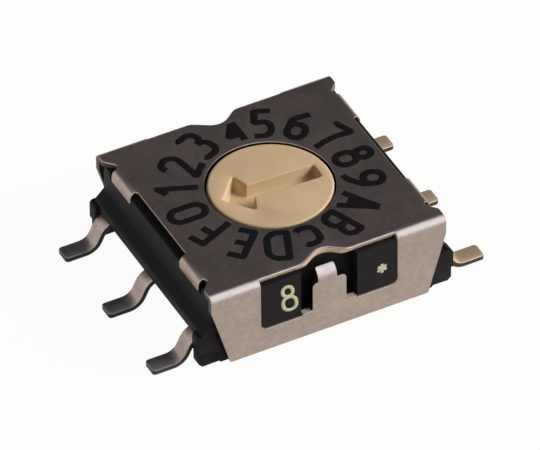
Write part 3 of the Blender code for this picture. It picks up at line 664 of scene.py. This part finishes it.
def fold(points):
    """Bends the flat blank. Past a fold line at distance s, the sheet turns by t = min((d - s) / R, 90 deg)
    about an axis R below its outer face, then runs straight down; a tongue's tip turns inwards again."""
    x, y, depth = points[:, 0], points[:, 1], -points[:, 2]

    def bent(distance, start):
        beyond = distance - start
        turn = np.clip(beyond / FOLD_RADIUS, 0, pi / 2)
        arm = FOLD_RADIUS - depth
        across = np.where(beyond <= 0, distance, start + arm * np.sin(turn))
        up = COVER_TOP - FOLD_RADIUS + arm * np.cos(turn) - np.maximum(beyond - FOLD_ARC, 0)
        return across, up

    side_across, side_up = bent(np.abs(x), FOLD_START_X)
    flange_across, flange_up = bent(np.abs(y), FOLD_START_Y)
    curl = (TIP_ROOT - np.abs(y)) / TIP_RADIUS
    tip_across = COVER_HALF_Y - TIP_RADIUS + (TIP_RADIUS - depth) * np.cos(curl)
    tip_up = TONGUE_TOP + (TIP_RADIUS - depth) * np.sin(curl)
    on_tip = np.abs(x - TIP_OFFSET) < TIP_HALF + WELD
    on_tip &= (curl > 0) & (curl < (TIP_LENGTH + WELD) / TIP_RADIUS)
    at_side = np.abs(y) < RELIEF_Y
    across = np.where(on_tip, tip_across, flange_across)
    up = np.where(on_tip, tip_up, flange_up)
    return np.stack([
        np.where(at_side, np.sign(x) * side_across, x),
        np.where(at_side, y, np.sign(y) * across),
        np.where(at_side, side_up, up),
    ], axis=1)


def cover_mesh():
    """The blank as a solid with rolled upper edges, cut along its fold lines, then folded. Also gives
    each point's cut-wall share, (depth - roll) / roll kept between 0 and 1 on the cut walls: whole where the
    tool pierced an opening, where the sheet is painted with a highlight, half round the outside, where it is
    painted with shade."""
    outlines = [blank_outline(), circle(HOLE_RADIUS)[::-1], opening_outline(1), opening_outline(-1)]
    rolls = [np.full((len(outline), 1), OPENING_ROLL) for outline in outlines]
    rolls[0][:] = DIE_ROLL
    for roll, outline in zip(rolls[2:], outlines[2:]):
        roll[np.abs(outline[:, 1]) < LIP_Y + WELD] = LIP_ROLL
    parts = []
    for outline, roll in zip(outlines, rolls):
        rim = edge_profile(roll, 4) + [(0, 2 * roll), (0, SHEET - BURR), (BURR, SHEET)]
        parts.append(loft([raised(inset(outline, d), -depth) for d, depth in rim], caps=False))
    parts.append(flat_face([inset(outline, roll) for outline, roll in zip(outlines, rolls)], 0))
    parts.append(flat_face([inset(outline, BURR) for outline in outlines], -SHEET))
    points, faces = joined(parts)
    mesh = new_mesh("blank", points, faces)
    bm = bmesh.new()
    bm.from_mesh(mesh)
    bmesh.ops.remove_doubles(bm, verts=bm.verts[:], dist=WELD)
    arc = FOLD_ARC * np.arange(FOLD_STEPS + 1) / FOLD_STEPS
    steps = np.concatenate([[-FOLD_MARGIN], arc, [FOLD_ARC + FOLD_MARGIN]])
    tip_steps = np.linspace(0, TIP_LENGTH - 0.01, 9)
    for side in (-1, 1):
        cuts = [((side * (FOLD_START_X + step), 0, 0), (1, 0, 0)) for step in steps]
        cuts += [((0, side * (FOLD_START_Y + step), 0), (0, 1, 0)) for step in steps]
        cuts += [((0, side * (TIP_ROOT - step), 0), (0, 1, 0)) for step in tip_steps]
        for point, normal in cuts:
            geometry = bm.verts[:] + bm.edges[:] + bm.faces[:]
            bmesh.ops.bisect_plane(bm, geom=geometry, plane_co=point, plane_no=normal, dist=WELD / 10)
    bm.to_mesh(mesh)
    bm.free()
    flat = np.empty(len(mesh.vertices) * 3)
    mesh.vertices.foreach_get("co", flat)
    blank = flat.reshape(-1, 3)
    x, y, depth = np.abs(blank).T
    at_opening = (x < WINDOW_HALF + NEAR) & (y > HOLE_RADIUS + 4 * NEAR)
    at_opening &= y < unrolled(FOLD_START_Y, WINDOW_BOTTOM - NEAR)
    at_opening &= (x >= TONGUE_HALF + TONGUE_NEAR) | (y <= TIP_ROOT - TIP_LENGTH - NEAR)
    # Share on the cut walls: whole in the openings, where a highlight is painted, half outside, where shade
    # is painted.
    cut_wall_shading_and_finish = np.where(depth < SHEET - WELD, np.clip(depth / OPENING_ROLL - 1, 0, 1), 0)
    cut_wall_shading_and_finish *= np.where(at_opening, 1.0, 0.5)
    faces = [list(polygon.vertices) for polygon in mesh.polygons]
    bpy.data.meshes.remove(mesh)
    return fold(blank), faces, cut_wall_shading_and_finish


# The moulded case

def case_plan(half_x, half_y, pocket_x):
    """Outline of the housing at one height: a rectangle with a groove in its front and back and
    two pockets in each side; every height gives equally many points."""
    groove = half_y - GROOVE_DEPTH
    corners = [
        (half_x, -half_y, CASE_CORNER), (half_x, -RELIEF_Y, 0), (pocket_x, -RELIEF_Y, 0),
        (pocket_x, -POCKET_FROM, 0), (half_x, -POCKET_FROM, 0), (half_x, POCKET_FROM, 0),
        (pocket_x, POCKET_FROM, 0), (pocket_x, RELIEF_Y, 0), (half_x, RELIEF_Y, 0),
        (half_x, half_y, CASE_CORNER), (GROOVE_HALF, half_y, 0), (GROOVE_HALF, groove, 0),
        (-GROOVE_HALF, groove, 0), (-GROOVE_HALF, half_y, 0),
    ]
    half = rounded(corners, 5)
    return np.concatenate([half, -half])


def cavity_plan():
    """The round cavity with a slot on each side for the detent spring's ears."""
    start = np.arcsin(EAR_SLOT_HALF / CAVITY_RADIUS)
    angles = np.linspace(start, pi - start, 90)
    arc = CAVITY_RADIUS * np.stack([np.cos(angles), np.sin(angles)], axis=1)
    half = np.concatenate([[(EAR_SLOT_X, EAR_SLOT_HALF)], arc, [(-EAR_SLOT_X, EAR_SLOT_HALF)]])
    return np.concatenate([half, -half])


def post_outline():
    """A corner post seen from the front: straight, with a round shoulder."""
    return rounded([(POST_INNER_X, POST_BOTTOM, 0), (POST_HALF_X, POST_BOTTOM, CASE_CORNER),
                    (POST_HALF_X, POST_TOP, POST_SHOULDER), (POST_INNER_X, POST_TOP, 0)], 8)


def pad_outline():
    """A raised pad seen from the front, which fills half of a window beside the tongue's groove."""
    low = WINDOW_BOTTOM + PAD_GAP
    side = WINDOW_HALF - PAD_GAP
    return rounded([(GROOVE_HALF, low, 0), (side, low, WINDOW_CORNER), (side, CASE_TOP, 0),
                    (GROOVE_HALF, CASE_TOP, 0)])


def housing_mesh():
    """The outside as rings of one plan from the parting line up, the bore and the cavity as plain walls,
    level faces between them, four corner posts and four pads in the cover's windows."""
    side = rounded([(SKIRT_HALF_X, PARTING, 0), (SKIRT_HALF_X, SKIRT_FROM, SKIRT_ROUND),
                    (CASE_HALF_X, SKIRT_TO, SKIRT_ROUND), (CASE_HALF_X, POCKET_FLOOR, 0)], 6, closed=False)
    soft = edge_profile(CASE_EDGE)
    rings = [raised(case_plan(SKIRT_HALF_X - d, CASE_HALF_Y - d, SKIRT_HALF_X - d), PARTING + drop)
             for d, drop in soft]
    rings += [raised(case_plan(x, CASE_HALF_Y, x), z) for x, z in side[1:]]
    rings.append(raised(case_plan(CASE_HALF_X, CASE_HALF_Y, POCKET_X), POCKET_FLOOR))
    rings += [raised(case_plan(CASE_HALF_X - d, CASE_HALF_Y - d, POCKET_X - d), CASE_TOP - drop)
              for d, drop in reversed(soft)]
    bore = circle(BORE_RADIUS)
    cavity = cavity_plan()
    edge = CASE_EDGE
    parts = [
        loft(rings, caps=False),
        flat_face([case_plan(CASE_HALF_X - edge, CASE_HALF_Y - edge, POCKET_X - edge), bore], CASE_TOP),
        loft([raised(bore, CASE_TOP), raised(bore, CEILING)], caps=False),
        flat_face([cavity, bore], CEILING),
        loft([raised(cavity, CEILING), raised(cavity, PARTING)], caps=False),
        flat_face([case_plan(SKIRT_HALF_X - edge, CASE_HALF_Y - edge, SKIRT_HALF_X - edge), cavity], PARTING),
    ]
    post = prism(post_outline(), CASE_HALF_Y - POST_WIDTH, CASE_HALF_Y + POST_PROUD, CASE_EDGE / 2)
    pad = prism(pad_outline(), CASE_HALF_Y - PLAY, PAD_Y, PAD_EDGE)
    for x in (-1, 1):
        for y in (-1, 1):
            for points, faces in (post, pad):
                parts.append((np.column_stack([x * points[:, 0], y * points[:, 2], points[:, 1]]), faces))
    return joined(parts)


# The rotor

def arrow_outline():
    """The slot from above, anticlockwise: a shaft and a broad head towards -X, with small radii."""
    back = [(ARROW_END, SHAFT_HALF, SHAFT_CORNER), (-HEAD_BACK, SHAFT_HALF, HEAD_CORNER),
            (-BARB_X, BARB_Y, HEAD_CORNER)]
    front = [(x, -y, radius) for x, y, radius in back]
    points = rounded(front[:1] + back + [(-ARROW_END, 0, HEAD_CORNER)] + front[:0:-1], 6)
    c, s = cos(ARROW_TURN), sin(ARROW_TURN)
    return points @ np.array([[c, s], [-s, c]])


def rotor_mesh():
    """Head with the arrow recess, seal groove, a round flange with a shallow ring recess beneath, hub and
    pivot pin.
    """
    head = circle(ROTOR_RADIUS - ROTOR_EDGE)
    arrow = arrow_outline()
    lip = SLOT_LIP
    wall = [(-lip, 0), (-lip * 0.5, lip * 0.14), (-lip * 0.13, lip * 0.5), (0, lip),
            (lip / 3, SLOT_DEPTH - 0.04), (lip / 1.8, SLOT_DEPTH - lip / 3), (lip, SLOT_DEPTH)]
    top = flat_face([head, inset(arrow, wall[0][0])], ROTOR_TOP)
    recess = loft([raised(inset(arrow, d), ROTOR_TOP - depth) for d, depth in wall], caps=False)
    floor = flat_face([inset(arrow, wall[-1][0])], ROTOR_TOP - SLOT_DEPTH)
    groove = SEAL_SECTION / 2 + SEAL_PLAY
    profile = [(ROTOR_RADIUS - d, ROTOR_TOP - drop) for d, drop in edge_profile(ROTOR_EDGE, 5)]
    profile += [
        (ROTOR_RADIUS, SEAL_MIDDLE + groove), (GROOVE_FLOOR, SEAL_MIDDLE + groove),
        (GROOVE_FLOOR, SEAL_MIDDLE - groove), (ROTOR_RADIUS, SEAL_MIDDLE - groove),
        (ROTOR_RADIUS, ROTOR_FLANGE_TOP), (HOLE_RADIUS, ROTOR_FLANGE_TOP), (BORE_RADIUS, ROTOR_FLANGE_TOP),
        (ROTOR_FLANGE_RADIUS, ROTOR_FLANGE_TOP),
        (ROTOR_FLANGE_RADIUS, DISC_BOTTOM), (DISC_OUTER, DISC_BOTTOM), (DISC_OUTER, ROTOR_FLANGE_BOTTOM),
        (DISC_INNER, ROTOR_FLANGE_BOTTOM), (DISC_INNER, DISC_BOTTOM), (HUB_RADIUS, DISC_BOTTOM),
        (HUB_RADIUS, HUB_BOTTOM), (PIVOT_RADIUS, HUB_BOTTOM), (PIVOT_RADIUS, ROTOR_BOTTOM + PIN_EDGE),
        (PIVOT_RADIUS - PIN_EDGE, ROTOR_BOTTOM),
    ]
    rings = turned(profile)
    body = loft(rings, caps=False)
    flat_end = rings[-1], [list(range(ROUND_STEPS))]
    return joined([top, recess, floor, body, flat_end])


# The print

def bowl(left, bottom, right, top, left_round, right_round):
    """A closed stroke round a rectangle, with one radius at its left corners and one at its right."""
    return True, [(left, bottom, left_round), (right, bottom, right_round), (right, top, right_round),
                  (left, top, left_round)]


# Each character's strokes as (closed, corners) in mm, upright and centred: x right, y up, radius
STROKES = {
    "0": [bowl(-0.27, -0.52, 0.27, 0.53, 0.27, 0.27)],
    "1": [(False, [(0.10, 0.66, 0), (0.10, -0.57, 0)]),
          (False, [(0.08, 0.55, 0), (-0.14, 0.33, 0)])],
    "2": [(False, [(-0.27, 0.38, 0), (-0.23, 0.60, 0.22), (0.27, 0.60, 0.26), (0.27, 0.22, 0.30),
                   (-0.13, -0.36, 0.05), (-0.24, -0.50, 0.02), (0.34, -0.50, 0)])],
    "3": [(False, [(-0.25, 0.50, 0), (-0.22, 0.60, 0.06), (0.25, 0.60, 0.22), (0.25, 0.14, 0.20),
                   (0.02, 0.12, 0)]),
          (False, [(0.02, 0.12, 0), (0.28, 0.06, 0.18), (0.28, -0.48, 0.24), (-0.22, -0.48, 0.05),
                   (-0.26, -0.40, 0)])],
    "4": [(False, [(0.17, 0.32, 0), (0.17, -0.52, 0)]),
          (False, [(0.13, 0.28, 0), (-0.20, -0.22, 0.04), (0.27, -0.22, 0)]),
          (False, [(0.13, 0.10, 0), (-0.06, -0.16, 0)])],
    "5": [(False, [(0.27, 0.61, 0), (-0.19, 0.61, 0.03), (-0.22, 0.12, 0.05), (0.24, 0.16, 0.22),
                   (0.24, -0.46, 0.26), (-0.26, -0.46, 0)])],
    "6": [(False, [(0.15, 0.64, 0), (-0.25, 0.30, 0.25), (-0.25, -0.10, 0)]),
          bowl(-0.25, -0.46, 0.25, 0.14, 0.25, 0.25)],
    "7": [(False, [(-0.28, 0.56, 0), (-0.26, 0.62, 0.04), (0.30, 0.62, 0.04), (0.08, 0.20, 0.20),
                   (-0.02, -0.18, 0.1), (-0.05, -0.56, 0)])],
    "8": [bowl(-0.19, 0.13, 0.19, 0.57, 0.19, 0.19),
          bowl(-0.25, -0.50, 0.25, 0.09, 0.24, 0.24)],
    "9": [bowl(-0.29, 0.02, 0.22, 0.58, 0.25, 0.25),
          (False, [(0.22, 0.30, 0), (0.22, 0.00, 0.2), (-0.02, -0.40, 0.15), (-0.20, -0.54, 0)])],
    "A": [(False, [(-0.27, -0.56, 0), (0.00, 0.62, 0)]),
          (False, [(0.29, -0.56, 0), (0.02, 0.62, 0)]),
          (False, [(-0.20, -0.22, 0), (0.22, -0.22, 0)]),
          (False, [(0.01, 0.48, 0), (0.01, -0.16, 0)])],
    "B": [bowl(-0.22, 0.09, 0.20, 0.60, 0.02, 0.22),
          bowl(-0.22, -0.48, 0.25, 0.09, 0.02, 0.24)],
    "C": [(False, [(0.28, 0.18, 0), (0.20, 0.26, 0.06), (-0.20, 0.24, 0.24), (-0.22, -0.46, 0.26),
                   (0.24, -0.46, 0.08), (0.32, -0.38, 0)])],
    "D": [bowl(-0.27, -0.48, 0.31, 0.61, 0.02, 0.34)],
    "E": [(False, [(0.26, 0.61, 0), (-0.20, 0.61, 0.02), (-0.20, -0.46, 0.02), (0.27, -0.46, 0)]),
          (False, [(-0.20, 0.06, 0), (0.21, 0.06, 0)])],
    "F": [(False, [(0.31, 0.59, 0), (-0.18, 0.59, 0.02), (-0.15, -0.56, 0)]),
          (False, [(-0.16, 0.09, 0), (0.28, 0.09, 0)])],
}


def ribbon(path, closed, width, height, level):
    """An ink line along a path: five points across, p + n w (-1/2, -3/8, 0, 3/8, 1/2), whose height is
    (0, 1, 1.1, 1, 0) times the film's."""
    if closed:
        ahead = unit(np.roll(path, -1, axis=0) - path)
        behind = np.roll(ahead, 1, axis=0)
    else:
        step = unit(np.diff(path, axis=0))
        ahead = np.concatenate([step, step[-1:]])
        behind = np.concatenate([step[:1], step])
    normal = np.stack([-(ahead + behind)[:, 1], (ahead + behind)[:, 0]], axis=1)
    normal /= 1 + np.sum(ahead * behind, axis=1, keepdims=True)
    across = np.array([-0.5, -0.375, 0, 0.375, 0.5]) * width
    film = np.array([0, 1, 1.1, 1, 0]) * height + level
    flat = path[:, None] + normal[:, None] * across[None, :, None]
    points = np.concatenate([flat, np.broadcast_to(film[None, :, None], flat.shape[:2] + (1,))], axis=2)
    return points.reshape(-1, 3), quads(len(path), 5, wrap_rows=closed, wrap_columns=False)


def character_mesh(character, width, scale):
    """All strokes of a character as ink lines, each a hair above the last."""
    parts = []
    for number, (closed, corners) in enumerate(STROKES[character]):
        corners = [(x * scale, y * scale, r * scale) for x, y, r in corners]
        path = rounded(corners, 9, closed=closed)
        distinct = np.linalg.norm(np.diff(path, axis=0), axis=1) > SAME
        path = path[np.concatenate([[True], distinct])]
        if closed and np.linalg.norm(path[0] - path[-1]) < SAME:
            path = path[:-1]
        parts.append(ribbon(path, closed, width, INK, INK_STEP * (number + 1)))
    return joined(parts)


def dial_mesh():
    """The sixteen characters round the hole, tops outwards, each turned by a sixteenth of the circle."""
    parts = []
    for number, character in enumerate("0123456789ABCDEF"):
        angle = pi - number * 2 * pi / 16
        outward = np.array([cos(angle), sin(angle), 0])
        rightward = np.array([sin(angle), -cos(angle), 0])
        points, faces = character_mesh(character, DIAL_STROKE, DIAL_SCALE)
        right, up = DIAL_NUDGES.get(character, (0, 0))
        place = (points[:, :1] + right) * rightward + (points[:, 1:2] + DIAL_MIDDLE + up) * outward
        place[:, 2] = COVER_TOP + points[:, 2]
        parts.append((place, faces))
    return joined(parts)


def marks_mesh():
    """The bit number and the star on the front of the case, seen through the cover's windows."""
    points, faces = character_mesh("8", MARK_STROKE, MARK_SCALE)
    front = -PAD_Y
    right = MARK_X + points[:, 0] - MARK_LEAN * points[:, 1]
    digit = np.column_stack([right, front - points[:, 2], MARK_Z + points[:, 1]])
    arms = []
    for turn in np.arange(3) * pi / 3 + pi / 2:
        end = np.array([cos(turn), sin(turn)]) * STAR_RADIUS
        line = np.linspace(-1, 1, 9)[:, None] * end
        arms.append(ribbon(line, False, STAR_STROKE, INK, INK_STEP * (len(arms) + 1)))
    points, star_faces = joined(arms)
    star = np.column_stack([STAR_X + points[:, 0], front - points[:, 2], STAR_Z + points[:, 1]])
    return joined([(digit, faces), (star, star_faces)])


# The leads

def lead_stations(side, row, reach, angle):
    """Middle line of a whole terminal with its widths and thicknesses: foot, S bend, root, spring arm."""
    foot_z = LEAD_SHEET / 2
    bends = rounded([(LEAD_TIP, foot_z, 0), (FOOT_BEND_X, foot_z, LEAD_BEND),
                     (KNEE_X, LEAD_ROOT_Z, LEAD_BEND), (ARM_ROOT_X, LEAD_ROOT_Z, 0)], 14, closed=False)
    ease = TIP_CORNER * (1 - np.cos(np.linspace(0, pi / 2, TIP_STEPS)))
    tip = np.column_stack([LEAD_TIP - ease, np.full(TIP_STEPS, foot_z)])
    line = np.concatenate([tip, bends[1:]])
    points = np.column_stack([side * line[:, 0], np.full(len(line), row * PITCH), line[:, 1]])
    width = np.full(len(points), LEAD_WIDTH)
    inward = TIP_CORNER - ease
    width[:TIP_STEPS] = LEAD_WIDTH - 2 * (TIP_CORNER - np.sqrt(np.maximum(TIP_CORNER ** 2 - inward ** 2, 0)))
    sheet = np.full(len(points), LEAD_SHEET)
    sheet[:2] -= TIP_THINNING
    root = points[-1]
    contact = np.array([reach * cos(angle), reach * sin(angle), CONTACT_Z])
    along = (contact - root) * (1, 1, 0)
    along /= np.linalg.norm(along)
    hinge = root + along * (np.hypot(root[0], root[1]) - WELL_RADIUS + LEAD_WIDTH / 4)
    toe = contact + along * ARM_TOE - (0, 0, ARM_TOE / 2)
    arm = np.array([hinge, hinge + along * LEAD_WIDTH / 4, contact - along * ARM_FLAT / 2,
                    contact + along * ARM_FLAT / 2, toe])
    points = np.concatenate([points, arm])
    width = np.concatenate([width, [LEAD_WIDTH] + [ARM_WIDTH] * 4])
    sheet = np.concatenate([sheet, [LEAD_SHEET] + [ARM_SHEET] * 4])
    return points, width, sheet


def lead_mesh(side, row, reach, angle):
    """A rounded rectangle carried along the middle line: p + a (+-(w/2 - r) + r cos t) + n (+-(h/2 - r)
    + r sin t), with a level across the path and n square to both; the cut sides and tip get a share of
      painted shade."""
    points, width, sheet = lead_stations(side, row, reach, angle)
    ahead = unit(np.diff(points, axis=0))
    after = np.concatenate([ahead, ahead[-1:]])
    before = np.concatenate([ahead[:1], ahead])
    along = unit(after + before)
    level = unit(along * (1, 1, 0))
    turn = np.sum(level * unit(after * (1, 1, 0)), axis=1)
    across = np.column_stack([-level[:, 1], level[:, 0], np.zeros(len(points))])
    normal = np.cross(across, along)
    width = width / turn
    sheet = sheet * np.minimum(turn / np.sum(along * after, axis=1), 1.5)
    corner = LEAD_CORNER
    angles = np.radians(np.arange(0, 360, 22.5) + 11.25)
    sign_a, sign_n = np.sign(np.cos(angles)), np.sign(np.sin(angles))
    a = sign_a * (width[:, None] / 2 - corner) + corner * np.cos(angles)
    n = sign_n * (sheet[:, None] / 2 - corner) + corner * np.sin(angles)
    rings = points[:, None] + across[:, None] * a[..., None] + normal[:, None] * n[..., None]
    # The cut sides and the tip take painted shade in the tin.
    cut_wall_shading_and_finish = np.tile(np.clip((np.abs(np.cos(angles)) - 0.7) / 0.2, 0, 1), len(points))
    cut_wall_shading_and_finish[:len(angles)] = 1
    return loft(rings), cut_wall_shading_and_finish


# Light, floor and camera

def soft_light(name, place, target, size, radiance, colour):
    """A softbox of one radiance: its power is pi times radiance times area."""
    light = bpy.data.lights.new(name, "AREA")
    light.shape = "RECTANGLE"
    light.size = size[0] * MM
    light.size_y = size[1] * MM
    light.energy = pi * radiance * light.size * light.size_y
    light.color = linear(colour)[:3]
    lamp = add_object(name, light)
    lamp.location = Vector(place) * MM
    lamp.rotation_euler = (Vector(target) - Vector(place)).to_track_quat("-Z", "Y").to_euler()
    lamp.visible_camera = False
    return lamp


def background_share(tree, seen, mirrored):
    """How much a surface shows as the white background: one share to rays from the camera or through clear
    things, another to rays from glossy surfaces, and none of it to the light that falls on the object."""
    path = add_node(tree, "ShaderNodeLightPath")
    shares = []
    for ray, most in (("Is Camera Ray", seen), ("Is Transmission Ray", seen), ("Is Glossy Ray", mirrored)):
        share = add_node(tree, "ShaderNodeMath", {"operation": "MULTIPLY"})
        tree.links.new(path.outputs[ray], share.inputs[0])
        share.inputs[1].default_value = most
        shares.append(share.outputs["Value"])
    largest = shares[0]
    for other in shares[1:]:
        pick = add_node(tree, "ShaderNodeMath", {"operation": "MAXIMUM"})
        tree.links.new(largest, pick.inputs[0])
        tree.links.new(other, pick.inputs[1])
        largest = pick.outputs["Value"]
    return largest


def add_floor():
    """Pale floor: seen almost white, with a faint shadow; it throws light back as it is lit."""
    corners = np.array([(-1, -1, 0), (1, -1, 0), (1, 1, 0), (-1, 1, 0)]) * FLOOR_HALF
    mesh = new_mesh("floor", corners * MM, [(0, 1, 2, 3)])
    material, tree, shader = start_material("pale_floor_paper", Roughness=0.9, Specular_IOR_Level=0.0)
    shader.inputs["Base Color"].default_value = linear("#f4f0eb")
    white = add_node(tree, "ShaderNodeEmission", {"Color": (1, 1, 1, 1), "Strength": 1.0})
    share = background_share(tree, FLOOR_SEEN, FLOOR_MIRRORED)
    mix = add_node(tree, "ShaderNodeMixShader", {}, {"Fac": share})
    tree.links.new(shader.outputs["BSDF"], mix.inputs[1])
    tree.links.new(white.outputs["Emission"], mix.inputs[2])
    tree.links.new(mix.outputs["Shader"], tree.nodes["Material Output"].inputs["Surface"])
    mesh.materials.append(material)
    add_object("floor", mesh)


def add_world():
    """A dim room that lights the object, seen white past the floor and in glossy surfaces."""
    world = bpy.data.worlds.new("room")
    bpy.context.scene.world = world
    world.use_nodes = True
    tree = world.node_tree
    room = tree.nodes["Background"]
    room.inputs["Color"].default_value = linear("#555053")
    room.inputs["Strength"].default_value = 1.0
    white = add_node(tree, "ShaderNodeBackground", {"Color": (1, 1, 1, 1), "Strength": 1.0})
    mix = add_node(tree, "ShaderNodeMixShader", {}, {"Fac": background_share(tree, 1.0, 1.0)})
    tree.links.new(room.outputs["Background"], mix.inputs[1])
    tree.links.new(white.outputs["Background"], mix.inputs[2])
    tree.links.new(mix.outputs["Shader"], tree.nodes["World Output"].inputs["Surface"])


def add_grey_card():
    """A grey card above and behind, out of the camera's sight, that the level metal mirrors."""
    back = np.array(CARD_TOWARDS)
    side = np.cross((0, 0, 1), back)
    side /= np.linalg.norm(side)
    rise = np.cross(back, side)
    low, high, left = -CARD_HALF, CARD_HALF, CARD_LEFT
    reach = ((low, low), (left, low), (left, high), (low, high))
    corners = back * CARD_DISTANCE + np.array([side * x + rise * y for x, y in reach])
    mesh = new_mesh("grey_card", corners * MM, [(0, 1, 2, 3)])
    material = bpy.data.materials.new("grey_card_paper")
    material.use_nodes = True
    tree = material.node_tree
    tree.nodes.clear()
    grey = add_node(tree, "ShaderNodeEmission", {"Color": linear("#494851"), "Strength": 1.0})
    add_node(tree, "ShaderNodeOutputMaterial", {}, {"Surface": grey.outputs["Emission"]})
    mesh.materials.append(material)
    card = add_object("grey_card", mesh)
    card.visible_camera = False
    card.visible_diffuse = False
    card.visible_shadow = False


def add_camera():
    """A long lens at the photograph's angle: azimuth, elevation and roll of the view, aimed at the dial."""
    level = cos(CAMERA_ELEVATION)
    back = Vector((sin(CAMERA_AZIMUTH) * level, -cos(CAMERA_AZIMUTH) * level, sin(CAMERA_ELEVATION)))
    right = Vector((0, 0, 1)).cross(back).normalized()
    up = back.cross(right)
    turned_right = right * cos(CAMERA_ROLL) + up * sin(CAMERA_ROLL)
    turned_up = up * cos(CAMERA_ROLL) - right * sin(CAMERA_ROLL)
    camera = add_object("camera", bpy.data.cameras.new("camera"))
    camera.data.sensor_width = CAMERA_SENSOR
    camera.data.lens = CAMERA_LENS
    axes = Matrix((turned_right, turned_up, back)).transposed().to_4x4()
    place = (Vector(CAMERA_AIM) + back * CAMERA_DISTANCE) * MM
    camera.matrix_world = Matrix.Translation(place) @ axes
    camera.data.clip_start = CAMERA_NEAR * MM
    bpy.context.scene.camera = camera


# The pieces

sheet_metal = rolled_stainless_sheet()
black = black_case_moulding()
cream = cream_rotor_moulding()
tin = dull_tin_plating()

*cover_surface, cover_wall_shading = cover_mesh()
make_piece("folded_cover", cover_surface, sheet_metal, "case", "cover", cover_wall_shading)
make_piece("upper_case", housing_mesh(), black, "case", "housing")
make_piece("adjuster", rotor_mesh(), cream, "adjuster", "rotor")
for node, facts in TERMINALS.items():
    lead_surface, lead_wall_shading = lead_mesh(*facts)
    make_piece("lead_" + node.split("_", 1)[1], lead_surface, tin, "case", node, lead_wall_shading)

black_ink = printing_ink("black_dial_ink", "#0c0b0a", "#131110")
pale_ink = printing_ink("pale_mark_ink", "#c4c9a6", "#d2d6b6")
make_piece("dial_print", dial_mesh(), black_ink, "case")
make_piece("case_marks", marks_mesh(), pale_ink, "case")

node_finishes = {
    "base": black,
    "rotor_seal": hidden_finish("silicone_seal", "#5a2018", "#6a2a20", Metallic=0.0, Roughness=0.6),
    "code_disc": hidden_finish("gold_plated_brass", "#c79a45", "#d9b463", Metallic=1.0, Roughness=0.25),
    "detent_spring": hidden_finish("spring_steel_strip", "#9a9894", "#b4b1ac", Metallic=1.0, Roughness=0.3),
}
for node, material in node_finishes.items():
    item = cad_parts[node]
    item.data.materials.clear()
    item.data.materials.append(material)
    item.data.shade_smooth()
    item.modifiers.new("one_skin", "WELD").merge_threshold = WELD * MM
    crease = item.modifiers.new("crease", "BEVEL")
    crease.limit_method = "ANGLE"
    crease.angle_limit = CREASE_ANGLE
    crease.width = CREASE_WIDTH * MM
    crease.segments = 2
    item.modifiers.new("even_shading", "WEIGHTED_NORMAL").keep_sharp = True

add_floor()
add_world()
add_grey_card()
add_camera()
# The softbox makes the sheen along the folds, the key and the fill light the object
softbox = soft_light("front_softbox", place=(41, -77, 82), target=(0, 0, 0), size=(80, 224), radiance=1.8,
                     colour="#c4deff")
key = soft_light("right_key", place=(84, -62, 74), target=(0, 0, 2), size=(66, 58), radiance=13.2,
                 colour="#fff8f0")
fill = soft_light("low_right_fill", place=(104, 22, 30), target=(0, 0, 1), size=(40, 30), radiance=13.0,
                  colour="#fff0e0")
softbox.visible_diffuse = False
key.visible_glossy = False
fill.visible_glossy = False

bpy.context.scene.view_settings.view_transform = "Standard"
